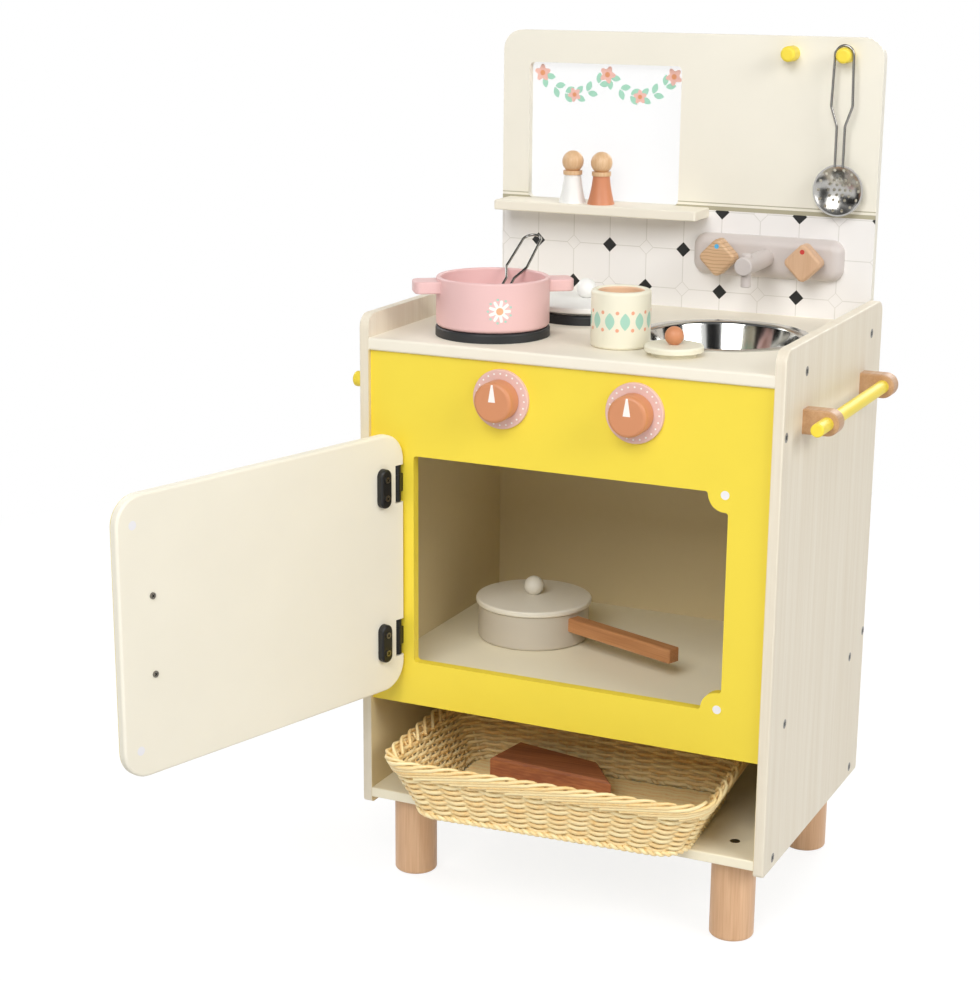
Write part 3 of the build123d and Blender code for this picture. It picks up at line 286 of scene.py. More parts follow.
def black_card(name, place, aim, width, height):
    """A card that faces a point, seen by reflections alone."""
    mesh = bpy.data.meshes.new(name)
    corners = [(x * width / 2, y * height / 2, 0) for x, y in ((-1, -1), (1, -1), (1, 1), (-1, 1))]
    mesh.from_pydata(corners, [], [[0, 1, 2, 3]])
    facing = (Vector(aim) - Vector(place)).to_track_quat("Z", "Y").to_matrix().to_4x4()
    mesh.transform(Matrix.Translation(place) @ facing)
    mesh.materials.append(card_black)
    card = bpy.data.objects.new(name, mesh)
    bpy.context.scene.collection.objects.link(card)
    for ray in ("camera", "diffuse", "transmission", "shadow", "volume_scatter"):
        setattr(card, "visible_" + ray, False)


black_card("left_card", (-2.1, -2.1, 1.75), MIDDLE, 3.7, 1.3)
black_card("middle_card", (1.6, -2.5, 1.2), MIDDLE, 1.45, 2.4)
black_card("right_card", (2.9, 0.78, 1.2), MIDDLE, 2.9, 2.4)
black_card("far_left_card", (-2.3, 0.1, 0.75), (0, 0.1, 0.75), 1.9, 1.5)
black_card("low_card", (0, -0.55, 0.01), (0, -0.55, 1), 2.6, 0.4)


# Finishes. Pattern sizes are in mm. A band of wood is counted in streaks and runs, a scratch in its widths.

PAINT_DRIFT = 70
PAINT_PEEL = 1.5
STREAKS_PER_BAND = 7
RUNS_PER_BAND = 3
GRAIN_SPAN = (0.72, 1.28)
SCRATCH_WIDTHS = 20


def grain_scale(along, streak, run):
    """Mapping scale for streaks of a width and a run in mm, along one axis."""
    return [1 / ((run if axis == along else streak) * MM) for axis in "XYZ"]


def printed(material, tree, place, ground, prints, surface):
    """Lay the inks of a print over a ground colour, and finish the material with its surface."""
    for mask, ink in prints(tree, place) if prints else ():
        ground = put(tree, "ShaderNodeMix", {0: mask, 6: ground.outputs[2], 7: colour(ink)}, data_type="RGBA")
    return close_material(material, tree, {"Base Color": ground.outputs[2], **surface})


def satin_paint(name, code, roughness=0.45, prints=None):
    """Sprayed satin paint: a soft broad sheen, faint orange peel, a slow drift of tone, and any print."""
    material, tree, place = open_material(name)
    drift = put(tree, "ShaderNodeTexNoise", {"Vector": place, "Scale": 1 / (PAINT_DRIFT * MM), "Detail": 2.0})
    peel = put(tree, "ShaderNodeTexNoise", {"Vector": place, "Scale": 1 / (PAINT_PEEL * MM), "Detail": 1.0})
    skin = put(tree, "ShaderNodeBump", {"Height": peel, "Strength": 0.15, "Distance": 0.05 * MM})
    gloss = put(tree, "ShaderNodeMapRange", {0: drift, 3: roughness - 0.05, 4: roughness + 0.05})
    paint = put(tree, "ShaderNodeMix", {0: drift, 6: colour(code, 1.03), 7: colour(code, 0.97)},
                data_type="RGBA")
    return printed(material, tree, place, paint, prints, {"Roughness": gloss, "Normal": skin})


def grained(name, pale, deep, along, streak, run, roughness, relief=0.03, turn=0.0, prints=None):
    """Wood or wood-print foil: fine streaks along the grain over slow broad bands, and any print on it."""
    material, tree, place = open_material(name)
    level = put(tree, "ShaderNodeMapping", {"Vector": place, "Rotation": (0, 0, math.radians(turn))})
    band, band_run = STREAKS_PER_BAND * streak, RUNS_PER_BAND * run
    streaks, bands = (
        put(tree, "ShaderNodeTexNoise", {"Scale": 1.0, "Detail": detail, "Vector": put(
            tree, "ShaderNodeMapping", {"Vector": level, "Scale": grain_scale(along, width, length)})})
        for width, length, detail in ((streak, run, 3.0), (band, band_run, 2.0)))
    both = put(tree, "ShaderNodeMath", {0: streaks, 1: bands}, operation="ADD")
    share = put(tree, "ShaderNodeMapRange", {0: both, 1: GRAIN_SPAN[0], 2: GRAIN_SPAN[1]})
    tint = put(tree, "ShaderNodeMix", {0: share, 6: colour(pale), 7: colour(deep)}, data_type="RGBA")
    gloss = put(tree, "ShaderNodeMapRange", {0: share, 3: roughness - 0.05, 4: roughness + 0.08})
    skin = put(tree, "ShaderNodeBump", {"Height": streaks, "Strength": 0.2, "Distance": relief * MM})
    return printed(material, tree, place, tint, prints, {"Roughness": gloss, "Normal": skin})


def steel(name, code, roughness, scratch):
    """Bare or plated steel: mirror-like, its polishing marks drawn coarser than real so that they show."""
    material, tree, place = open_material(name)
    scale = grain_scale("X", scratch, SCRATCH_WIDTHS * scratch)
    marks = put(tree, "ShaderNodeMapping", {"Vector": place, "Scale": scale})
    lines = put(tree, "ShaderNodeTexNoise", {"Vector": marks, "Scale": 1.0, "Detail": 3.0})
    tint = put(tree, "ShaderNodeMix", {0: lines, 6: colour(code, 1.04), 7: colour(code, 0.9)},
               data_type="RGBA")
    gloss = put(tree, "ShaderNodeMapRange", {0: lines, 3: roughness * 0.7, 4: roughness * 1.4})
    skin = put(tree, "ShaderNodeBump", {"Height": lines, "Strength": 0.08, "Distance": 0.02 * MM})
    return close_material(material, tree, {"Base Color": tint.outputs[2], "Metallic": 1.0, "Roughness": gloss,
                                           "Normal": skin})


# Prints. Each one lists masks and inks for a paint, measured in mm from a point of its piece.

def measured(tree, place, centre):
    """A place on a piece in mm from a centre, as its X, Y and Z."""
    shift = put(tree, "ShaderNodeMapping", {"Vector": place, "Scale": [1 / MM] * 3,
                                            "Location": Vector(centre) / -MM})
    return put(tree, "ShaderNodeSeparateXYZ", {0: shift}).outputs


def apart(tree, across, up):
    """How far a place lies from a point, from its two offsets."""
    flat = put(tree, "ShaderNodeCombineXYZ", {0: across, 1: up})
    return put(tree, "ShaderNodeVectorMath", {0: flat}, operation="LENGTH").outputs["Value"]


def middle(name):
    """The middle of a CAD node's box."""
    low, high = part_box(name)
    return (low + high) / 2


TILE = 40.3
TILE_ORIGIN = (3.0, 611.0)
TILE_TOP = 652.6
TILE_DIAMOND = 7.5
TILE_JOINT = 0.45
FACE_SKIN = 0.5
# Painted shade: a darker, warmer cream for faces inside the cabinet, below the worktop
INNER_WARM_SHADE = "DFCDA2"
# Painted shade: grey-beige stripes for the groove at the board's seam, each a height and half width in mm
SEAM_SHADE_LINES = ((654.7, 2.1), (659.7, 0.5))


def tile_print_and_painted_shade(tree, place):
    """Octagon tiles with small diamonds at their corners, every second one black, below two stripes of
    painted seam shade, and painted shade in a darker, warmer cream below the worktop.
    """
    x, y, z = measured(tree, place, (0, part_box("back_board")[0].y, 0))
    front = put(tree, "ShaderNodeMath", {0: y, 1: FACE_SKIN}, operation="LESS_THAN")
    tile_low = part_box("worktop")[0].z / MM
    splashback = put(tree, "ShaderNodeMath",
                     {0: z, 1: (tile_low + TILE_TOP) / 2, 2: (TILE_TOP - tile_low) / 2}, operation="COMPARE")
    tiled = put(tree, "ShaderNodeMath", {0: splashback, 1: front}, operation="MULTIPLY")
    steps, offs = [], []
    for axis, origin in zip((x, z), TILE_ORIGIN):
        from_origin = put(tree, "ShaderNodeMath", {0: axis, 1: origin}, operation="SUBTRACT")
        step = put(tree, "ShaderNodeMath", {0: from_origin, 1: TILE}, operation="DIVIDE")
        steps.append(put(tree, "ShaderNodeMath", {0: step}, operation="ROUND"))
        offs.append(put(tree, "ShaderNodeMath", {0: from_origin, 1: TILE / 2}, operation="PINGPONG"))
    reach = put(tree, "ShaderNodeMath", {0: offs[0], 1: offs[1]}, operation="ADD")
    nearest = put(tree, "ShaderNodeMath", {0: offs[0], 1: offs[1]}, operation="MINIMUM")
    diamond = put(tree, "ShaderNodeMath", {0: reach, 1: TILE_DIAMOND}, operation="LESS_THAN")
    open_ground = put(tree, "ShaderNodeMath", {0: reach, 1: TILE_DIAMOND}, operation="GREATER_THAN")
    joint = put(tree, "ShaderNodeMath", {0: nearest, 1: TILE_JOINT}, operation="LESS_THAN")
    joint = put(tree, "ShaderNodeMath", {0: joint, 1: open_ground}, operation="MULTIPLY")
    edge = put(tree, "ShaderNodeMath", {0: reach, 1: TILE_DIAMOND, 2: TILE_JOINT}, operation="COMPARE")
    line = put(tree, "ShaderNodeMath", {0: joint, 1: edge}, operation="MAXIMUM")
    place_sum = put(tree, "ShaderNodeMath", {0: steps[0], 1: steps[1]}, operation="ADD")
    odd = put(tree, "ShaderNodeMath", {0: place_sum, 1: 1.0}, operation="PINGPONG")
    even = put(tree, "ShaderNodeMath", {0: odd, 1: 0.5}, operation="LESS_THAN")
    black = put(tree, "ShaderNodeMath", {0: diamond, 1: even}, operation="MULTIPLY")
    below = put(tree, "ShaderNodeMath", {0: z, 1: tile_low}, operation="LESS_THAN")
    # Painted shade on the board's front below the worktop, inside the cabinet
    yield put(tree, "ShaderNodeMath", {0: below, 1: front}, operation="MULTIPLY"), INNER_WARM_SHADE
    yield tiled, "F1EEEB"
    yield put(tree, "ShaderNodeMath", {0: tiled, 1: line}, operation="MULTIPLY"), "DBD8D2"
    yield put(tree, "ShaderNodeMath", {0: tiled, 1: black}, operation="MULTIPLY"), "121212"
    # Painted shade where the seam's groove would lie in shadow
    for height, half in SEAM_SHADE_LINES:
        stripe = put(tree, "ShaderNodeMath", {0: z, 1: height, 2: half}, operation="COMPARE")
        yield put(tree, "ShaderNodeMath", {0: stripe, 1: front}, operation="MULTIPLY"), "B0A98F"


def inner_face_warm_shade(name):
    """A darker, warmer cream painted as the shade on a side panel's inner face, below the worktop."""
    def prints(tree, place):
        x, y, z = measured(tree, place, middle(name))
        inward = -math.copysign(1, middle(name).x)
        depth = put(tree, "ShaderNodeMath", {0: x, 1: inward}, operation="MULTIPLY")
        thickness = (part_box(name)[1].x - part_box(name)[0].x) / MM
        inner = put(tree, "ShaderNodeMath", {0: depth, 1: thickness / 2 - FACE_SKIN},
                    operation="GREATER_THAN")
        below = put(tree, "ShaderNodeMath", {0: z, 1: (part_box("worktop")[0].z - middle(name).z) / MM},
                    operation="LESS_THAN")
        yield put(tree, "ShaderNodeMath", {0: inner, 1: below}, operation="MULTIPLY"), INNER_WARM_SHADE
    return prints


door_swing = next(joint for joint in frame["joints"] if joint["name"] == "door_swing")
DOOR_OPEN = -math.radians(door_swing["range_deg"][0])
DOOR_OUT = Vector((-math.sin(DOOR_OPEN), -math.cos(DOOR_OPEN), 0))
DOOR_EDGE = 2.8


def door_outside(tree, place):
    """The door's outer face, in the front panel's colour up to its rounded edge."""
    hinge_line = Vector(door_swing["pos_m"]).dot(DOOR_OUT)
    depth = put(tree, "ShaderNodeVectorMath", {0: place, 1: DOOR_OUT}, operation="DOT_PRODUCT")
    yield put(tree, "ShaderNodeMath", {0: depth.outputs["Value"], 1: hinge_line + DOOR_EDGE * MM},
              operation="GREATER_THAN"), "F4DB44"


DIAL_DOTS = 24
DIAL_RING = 24.2
DIAL_DOT = 0.9
DIAL_FACE = -1.5


def dial_dots(name):
    """A ring of white dots round a dial's face."""
    def prints(tree, place):
        x, y, z = measured(tree, place, middle(name))
        front = put(tree, "ShaderNodeMath", {0: y, 1: DIAL_FACE}, operation="LESS_THAN")
        angle = put(tree, "ShaderNodeMath", {0: z, 1: x}, operation="ARCTAN2")
        along = put(tree, "ShaderNodeMath", {0: angle, 1: DIAL_RING}, operation="MULTIPLY")
        pitch = math.tau * DIAL_RING / DIAL_DOTS
        sideways = put(tree, "ShaderNodeMath", {0: along, 1: pitch / 2}, operation="PINGPONG")
        outward = put(tree, "ShaderNodeMath", {0: apart(tree, x, z), 1: DIAL_RING}, operation="SUBTRACT")
        from_dot = apart(tree, sideways, outward)
        dot = put(tree, "ShaderNodeMath", {0: from_dot, 1: DIAL_DOT}, operation="LESS_THAN")
        yield put(tree, "ShaderNodeMath", {0: dot, 1: front}, operation="MULTIPLY"), "FBF6F2"
    return prints


POINTER_FOOT = 0.7
POINTER_TIP = 17.0
POINTER_HALF_FOOT = 3.6
POINTER_HALF_TIP = 0.9
KNOB_FACE = -7.0


def knob_pointer(name):
    """A white wedge on a knob's face, from near its middle up to its edge."""
    def prints(tree, place):
        x, y, z = measured(tree, place, middle(name))
        front = put(tree, "ShaderNodeMath", {0: y, 1: KNOB_FACE}, operation="LESS_THAN")
        half = put(tree, "ShaderNodeMapRange", {0: z, 1: POINTER_FOOT, 2: POINTER_TIP, 3: POINTER_HALF_FOOT,
                                                4: POINTER_HALF_TIP})
        aside = put(tree, "ShaderNodeMath", {0: x}, operation="ABSOLUTE")
        wedge = put(tree, "ShaderNodeMath", {0: aside, 1: half}, operation="LESS_THAN")
        reach = put(tree, "ShaderNodeMath", {0: z, 1: (POINTER_FOOT + POINTER_TIP) / 2,
                                             2: (POINTER_TIP - POINTER_FOOT) / 2}, operation="COMPARE")
        mark = put(tree, "ShaderNodeMath", {0: wedge, 1: reach}, operation="MULTIPLY")
        yield put(tree, "ShaderNodeMath", {0: mark, 1: front}, operation="MULTIPLY"), "FBF4EE"
    return prints


TAP_DOT = 2.4
TAP_DOT_RISE = 11.3
TAP_FACE = -5.0
GROWTH_RINGS = 3.4
GROWTH_RING = 0.42
RING_WAVER = 5.0
RING_RUN = 22


def tap_dot(name, ink, ringed):
    """An enamel dot near the top corner of a tap handle's face, over dark growth lines where it has them."""
    def prints(tree, place):
        if ringed:
            height = measured(tree, place, middle(name))[2]
            waver = put(tree, "ShaderNodeTexNoise",
                        {"Vector": place, "Scale": 1 / (RING_RUN * MM), "Detail": 1.0})
            bent = put(tree, "ShaderNodeMath", {0: waver, 1: RING_WAVER, 2: height}, operation="MULTIPLY_ADD")
            from_line = put(tree, "ShaderNodeMath", {0: bent, 1: GROWTH_RINGS / 2}, operation="PINGPONG")
            yield put(tree, "ShaderNodeMath", {0: from_line, 1: GROWTH_RING}, operation="LESS_THAN"), "BE9770"
        x, y, z = measured(tree, place, middle(name) + Vector((0, 0, TAP_DOT_RISE * MM)))
        front = put(tree, "ShaderNodeMath", {0: y, 1: TAP_FACE}, operation="LESS_THAN")
        dot = put(tree, "ShaderNodeMath", {0: apart(tree, x, z), 1: TAP_DOT}, operation="LESS_THAN")
        yield put(tree, "ShaderNodeMath", {0: dot, 1: front}, operation="MULTIPLY"), ink
    return prints


DAISY_FACING = math.radians(-58)
DAISY_DROP = 2.0
DAISY_PETALS = 9
DAISY_RADIUS = 10.5
DAISY_EYE = 3.4
DAISY_WAIST = 0.45
DAISY_DOT = 1.1
DAISY_DOT_RING = 1.05


def daisy_print(tree, place):
    """One white daisy with a peach eye and a ring of mint dots, on the pot's side right of its front."""
    x, y, z = measured(tree, place, middle("pot") - Vector((0, 0, DAISY_DROP * MM)))
    wall = (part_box("pot")[1].x - middle("pot").x) / MM
    outside = put(tree, "ShaderNodeMath", {0: apart(tree, x, y), 1: wall - 1}, operation="GREATER_THAN")
    turned = put(tree, "ShaderNodeVectorRotate", {"Vector": put(tree, "ShaderNodeCombineXYZ", {0: x, 1: y}),
                                                  "Angle": -DAISY_FACING}, rotation_type="Z_AXIS")
    sides = put(tree, "ShaderNodeSeparateXYZ", {0: turned}).outputs
    angle = put(tree, "ShaderNodeMath", {0: sides[1], 1: sides[0]}, operation="ARCTAN2")
    along = put(tree, "ShaderNodeMath", {0: angle, 1: wall}, operation="MULTIPLY")
    spread = apart(tree, along, z)
    compass = put(tree, "ShaderNodeMath", {0: z, 1: along}, operation="ARCTAN2")
    wave = put(tree, "ShaderNodeMath", {0: compass, 1: DAISY_PETALS}, operation="MULTIPLY")
    lobe = put(tree, "ShaderNodeMath", {0: wave}, operation="COSINE")
    reach = put(tree, "ShaderNodeMapRange", {0: lobe, 1: -1.0, 2: 0.6, 3: DAISY_WAIST * DAISY_RADIUS,
                                             4: DAISY_RADIUS})
    petal = put(tree, "ShaderNodeMath", {0: spread, 1: reach}, operation="LESS_THAN")
    eye = put(tree, "ShaderNodeMath", {0: spread, 1: DAISY_EYE}, operation="LESS_THAN")
    half_pitch = math.pi / DAISY_PETALS
    between = put(tree, "ShaderNodeMath", {0: compass, 1: half_pitch}, operation="PINGPONG")
    sideways = put(tree, "ShaderNodeMapRange", {0: between, 1: 0.0, 2: half_pitch,
                                                3: half_pitch * DAISY_RADIUS, 4: 0.0})
    outward = put(tree, "ShaderNodeMath", {0: spread, 1: DAISY_DOT_RING * DAISY_RADIUS}, operation="SUBTRACT")
    from_dot = apart(tree, sideways, outward)
    dot = put(tree, "ShaderNodeMath", {0: from_dot, 1: DAISY_DOT}, operation="LESS_THAN")
    for mask, ink in ((petal, "FBF4EC"), (eye, "EDB186"), (dot, "A9D3C0")):
        yield put(tree, "ShaderNodeMath", {0: mask, 1: outside}, operation="MULTIPLY"), ink


JAR_REPEATS = 12
JAR_BORE = 21.6
JAR_LEAF = (4.6, 8.0)
JAR_DOT = 1.7


def jar_prints(tree, place):
    """Bare beech inside the jar, and round its middle a band of mint leaves with rows of coral dots."""
    x, y, z = measured(tree, place, middle("jar"))
    wall = (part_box("jar")[1].x - middle("jar").x) / MM
    radius = apart(tree, x, y)
    yield put(tree, "ShaderNodeMath", {0: radius, 1: JAR_BORE}, operation="LESS_THAN"), "E4BE9C"
    outside = put(tree, "ShaderNodeMath", {0: radius, 1: wall - FACE_SKIN}, operation="GREATER_THAN")
    angle = put(tree, "ShaderNodeMath", {0: y, 1: x}, operation="ARCTAN2")
    along = put(tree, "ShaderNodeMath", {0: angle, 1: wall}, operation="MULTIPLY")
    pitch = math.tau * wall / JAR_REPEATS
    leaf_off = put(tree, "ShaderNodeMath", {0: along, 1: pitch / 2}, operation="PINGPONG")
    dot_off = put(tree, "ShaderNodeMath", {0: pitch / 2, 1: leaf_off}, operation="SUBTRACT")
    height = put(tree, "ShaderNodeMath", {0: z}, operation="ABSOLUTE")
    leaf_share = [put(tree, "ShaderNodeMath", {0: off, 1: half}, operation="DIVIDE")
                  for off, half in zip((leaf_off, height), JAR_LEAF)]
    rounded = put(tree, "ShaderNodeMath", {0: leaf_share[1], 1: 2.0}, operation="POWER")
    leaf_sum = put(tree, "ShaderNodeMath", {0: leaf_share[0], 1: rounded}, operation="ADD")
    leaf = put(tree, "ShaderNodeMath", {0: leaf_sum, 1: 1.0}, operation="LESS_THAN")
    rise = put(tree, "ShaderNodeMath", {0: height, 1: JAR_LEAF[1]}, operation="SUBTRACT")
    dot = put(tree, "ShaderNodeMath", {0: apart(tree, dot_off, rise), 1: JAR_DOT}, operation="LESS_THAN")
    for mask, ink in ((leaf, "A7D2BE"), (dot, "EBA887")):
        yield put(tree, "ShaderNodeMath", {0: mask, 1: outside}, operation="MULTIPLY"), ink


# Ash-print foil on fibreboard: pale cream with faint long grain and a low sheen, with painted shade in a
# darker, warmer cream on the inner faces below the worktop
for hand in ("left", "right"):
    panel = hand + "_side_panel"
    foil = grained(hand + "_ash_foil_and_inner_shade", "ECE3D0", "E5DAC5", "Z", 1.6, 120, 0.5, prints=inner_face_warm_shade(panel))
    dress(foil, panel)

# Sprayed satin paint in the object's colours
dress(satin_paint("cream_satin_paint", "F1EAD9", 0.5), "worktop", "window_shelf")
dress(satin_paint("warm_cream_satin_paint", "F7EFD6", 0.5), "oven_floor", "bottom_shelf")
# The back board: tile print, with painted shade at its seam and below the worktop
dress(satin_paint("cream_paint_with_tile_print_and_painted_shade", "EFEADB", 0.5, tile_print_and_painted_shade), "back_board")
dress(satin_paint("cream_and_yellow_paint", "F2ECDB", 0.5, door_outside), "door_panel")
dress(satin_paint("yellow_satin_paint", "F3DA42"), "front_panel", "hook_pegs", "towel_rail_bar")
dress(satin_paint("terracotta_satin_paint", "D28D63"), "jar_lid_knob")
dress(satin_paint("salt_satin_paint", "CE865F"), "salt_body")
for hand in ("left", "right"):
    knob, dial = hand + "_knob", hand + "_dial"
    dress(satin_paint(hand + "_knob_paint", "D28D63", 0.42, knob_pointer(knob)), knob)
    dress(satin_paint(hand + "_dial_paint", "E5BFB6", 0.45, dial_dots(dial)), dial)
dress(satin_paint("charcoal_satin_paint", "232527", 0.5), "front_hob_plate", "rear_hob_plate")
dress(satin_paint("white_satin_paint", "F0F0EC"), "pot_lid", "pepper_body")
dress(satin_paint("tap_satin_paint", "CFC6C1"), "tap_base", "tap_spout", "spout_nozzle")
dress(satin_paint("pan_satin_paint", "CEC5B6"), "saucepan")
# Painted light: the lid is a lighter cream than the pan, for light on its upturned face in the shaded oven
dress(satin_paint("pan_lid_paint_with_painted_light", "F0EADC"), "saucepan_lid")
dress(satin_paint("pink_satin_paint", "E8BFBC", 0.42, daisy_print), "pot")
dress(satin_paint("pink_lug_paint", "E8BFBC", 0.42), "pot_lugs")
dress(satin_paint("ivory_satin_paint", "EDE8D2", 0.45, jar_prints), "jar")
dress(satin_paint("ivory_lid_paint", "EDE8D2"), "jar_lid")
dress(satin_paint("magnet_white_coat", "EDEBEE"), "frame_magnets", "door_magnets")

# Clear-lacquered solid wood: warm, close-grained, with a soft gloss
beech_upright = grained("beech_upright", "E3BA93", "D2A57D", "Z", 1.0, 40, 0.42, 0.05)
# Painted shade: a darker copy of the beech, taking back light that the right softbox throws on the rail
# brackets and door handle
beech_level_with_painted_shade = grained("beech_level_with_painted_shade", "C8A07A", "B78C64", "Y", 1.0, 40, 0.42, 0.05)
beech_turned = grained("beech_turned", "E4C199", "D6AC7E", "Z", 1.2, 30, 0.42, 0.05)
dress(beech_upright, "front_left_leg", "front_right_leg", "rear_left_leg", "rear_right_leg")
dress(beech_level_with_painted_shade, "front_rail_bracket", "rear_rail_bracket", "door_handle")
dress(beech_turned, "pepper_head", "salt_head")
dress(grained("ringed_beech", "DDBB95", "CDA57D", "X", 1.6, 90, 0.42, 0.05,
              prints=tap_dot("cold_tap_handle", "56B4E2", True)), "cold_tap_handle")
dress(grained("plain_beech", "DBB592", "CFA683", "Z", 1.2, 40, 0.42, 0.05,
              prints=tap_dot("hot_tap_handle", "C93A33", False)), "hot_tap_handle")
dress(grained("stained_handle_wood", "C98F60", "B1774A", "X", 1.4, 50, 0.45, 0.05, turn=20.7),
      "saucepan_handle")
dress(grained("dark_stained_wood", "BA784F", "94583D", "X", 2.0, 60, 0.45, 0.05, turn=-3.8), "wooden_block")

# Metals: polished sheet and wire, dull zinc plate, and black powder coat
dress(steel("polished_stainless_steel", "CFCFCC", 0.12, 0.3), "sink_basin")
dress(steel("pressed_stainless_steel", "BDBBB7", 0.2, 0.3), "skimmer_bowl", "ladle_bowl")
# Painted reflection: the wire is a darker steel than the bowls, for the dark surroundings that it mirrors
dress(steel("drawn_steel_wire_with_painted_dark_reflection", "9A9894", 0.2, 0.3), "skimmer_handle", "ladle_handle")
dress(steel("zinc_plated_steel", "8A867E", 0.32, 0.4),
      "leg_bolts", "side_bolts", "turning_spindles", "hinge_pins", "door_screws")
dress(satin_paint("black_powder_coat", "161616", 0.4), "frame_hinge_knuckles", "door_hinge_knuckles",
      "hinge_cover_plates")

# Clear acrylic sheet: thin and all but see-through, with a mirror skin
ACRYLIC_HAZE = 40
acrylic, tree, place = open_material("clear_acrylic_sheet")
haze = put(tree, "ShaderNodeTexNoise", {"Vector": place, "Scale": 1 / (ACRYLIC_HAZE * MM)})
clarity = put(tree, "ShaderNodeMapRange", {0: haze, 3: 0.03, 4: 0.08})
dress(close_material(acrylic, tree, {"Base Color": colour("FFFFFF"), "Alpha": 0.12, "IOR": 1.49,
                                     "Roughness": clarity}), "window_pane")

# Woven cane: split strands, straw-coloured, a little glossy, with fibres drawn coarse enough to show
CANE_FIBRE = 4
cane, tree, place = open_material("woven_split_cane")
tone = put(tree, "ShaderNodeAttribute", attribute_name="tone")
fibres = put(tree, "ShaderNodeTexNoise", {"Vector": place, "Scale": 1 / (CANE_FIBRE * MM), "Detail": 3.0})
share = put(tree, "ShaderNodeMath", {0: tone.outputs["Fac"], 1: fibres}, operation="MULTIPLY")
tint = put(tree, "ShaderNodeMix", {0: share, 6: colour("FFECB8"), 7: colour("F0B95E")}, data_type="RGBA")
gloss = put(tree, "ShaderNodeMapRange", {0: fibres, 3: 0.38, 4: 0.52})
skin = put(tree, "ShaderNodeBump", {"Height": fibres, "Strength": 0.2, "Distance": 0.1 * MM})
close_material(cane, tree, {"Base Color": tint.outputs[2], "Roughness": gloss, "Normal": skin})


def new_tree(name, **sizes):
    """A Geometry Nodes tree from a mesh and a material, with named inputs for its sizes."""
    tree = bpy.data.node_groups.new(name, "GeometryNodeTree")
    for socket, kind in (("Geometry", "Geometry"), ("Material", "Material")):
        tree.interface.new_socket(socket, in_out="INPUT", socket_type="NodeSocket" + kind)
    for size, kind in sizes.items():
        tree.interface.new_socket(size, in_out="INPUT", socket_type="NodeSocket" + kind)
    tree.interface.new_socket("Geometry", in_out="OUTPUT", socket_type="NodeSocketGeometry")
    return tree, put(tree, "NodeGroupInput").outputs


def end_tree(tree, geometry, material, rounded):
    """End a tree with real faces of one material, shaded round or flat."""
    smooth = put(tree, "GeometryNodeSetShadeSmooth", {"Geometry": geometry, "Shade Smooth": rounded})
    real = put(tree, "GeometryNodeRealizeInstances", {"Geometry": smooth})
    finished = put(tree, "GeometryNodeSetMaterial", {"Geometry": real, "Material": material})
    put(tree, "NodeGroupOutput", {"Geometry": finished})


# A strand follows each line of its guide. It swings along "out" with "phase", and sags where it is out.
strand_tree, strand = new_tree("cane_strand", Width="Float", Thickness="Float", Swing="Float", Sag="Float")
strand_line = put(strand_tree, "GeometryNodeMeshToCurve", {"Mesh": strand["Geometry"]})
way_out = put(strand_tree, "GeometryNodeInputNamedAttribute", {"Name": "out"}, data_type="FLOAT_VECTOR")
phase = put(strand_tree, "GeometryNodeInputNamedAttribute", {"Name": "phase"}, data_type="FLOAT")
wave = put(strand_tree, "ShaderNodeMath", {0: phase}, operation="SINE")
swing = put(strand_tree, "ShaderNodeMath", {0: wave, 1: strand["Swing"]}, operation="MULTIPLY")
aside = put(strand_tree, "ShaderNodeVectorMath", {0: way_out, "Scale": swing}, operation="SCALE")
bulge = put(strand_tree, "ShaderNodeMath", {0: wave, 1: 0.0}, operation="MAXIMUM")
drop = put(strand_tree, "ShaderNodeMath", {0: bulge, 1: strand["Sag"]}, operation="MULTIPLY")
down = put(strand_tree, "ShaderNodeCombineXYZ", {2: drop})
moved = put(strand_tree, "ShaderNodeVectorMath", {0: aside, 1: down}, operation="SUBTRACT")
bent = put(strand_tree, "GeometryNodeSetPosition", {"Geometry": strand_line, "Offset": moved})
level = put(strand_tree, "GeometryNodeSetCurveNormal", {"Curve": bent}, mode="Z_UP")
across = put(strand_tree, "ShaderNodeCombineXYZ", {0: strand["Thickness"], 1: strand["Width"], 2: 1.0})
circle = put(strand_tree, "GeometryNodeCurvePrimitiveCircle", {"Resolution": 6, "Radius": 0.5})
oval = put(strand_tree, "GeometryNodeTransform", {"Geometry": circle, "Scale": across})
swept = put(strand_tree, "GeometryNodeCurveToMesh",
            {"Curve": level, "Profile Curve": oval, "Fill Caps": True})
end_tree(strand_tree, swept, strand["Material"], True)


TONE_STEP = 0.618


def guide(name, lines, closed):
    """A guide mesh of lines. Each of their points is a place, a way out and a phase of the weave."""
    points, edges, outs, phases, tones = [], [], [], [], []
    for number, line in enumerate(lines):
        first, count = len(points), len(line)
        edges += [(first + i, first + i + 1) for i in range(count - 1)]
        if closed:
            edges.append((first + count - 1, first))
        for place, out, turn in line:
            points.append(place)
            outs += list(out)
            phases.append(turn)
            tones.append(number * TONE_STEP % 1)
    mesh = bpy.data.meshes.new(name)
    mesh.from_pydata(points, edges, [])
    carry(mesh, "out", outs, "FLOAT_VECTOR")
    carry(mesh, "phase", phases)
    carry(mesh, "tone", tones)
    return mesh


# The basket's own sizes in mm, as its solid has them
BASKET_TURN = math.radians(4)
BASKET_BASE = (268, 168, 26)
BASKET_RIM = (332, 210, 34)
BASKET_WALL = 6
STAKES = 44
ROW_PITCH = 2.9
basket_low, basket_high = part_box("basket")
BASKET_HEIGHT = (basket_high.z - basket_low.z) / MM
basket_middle = (basket_low + basket_high) / 2


def on_basket(x, y, height):
    """A place in the basket's own frame, in mm, turned and moved to where the basket stands."""
    turned = Matrix.Rotation(BASKET_TURN, 3, "Z") @ Vector((x, y, height)) * MM
    return Vector((basket_middle.x, basket_middle.y, basket_low.z)) + turned


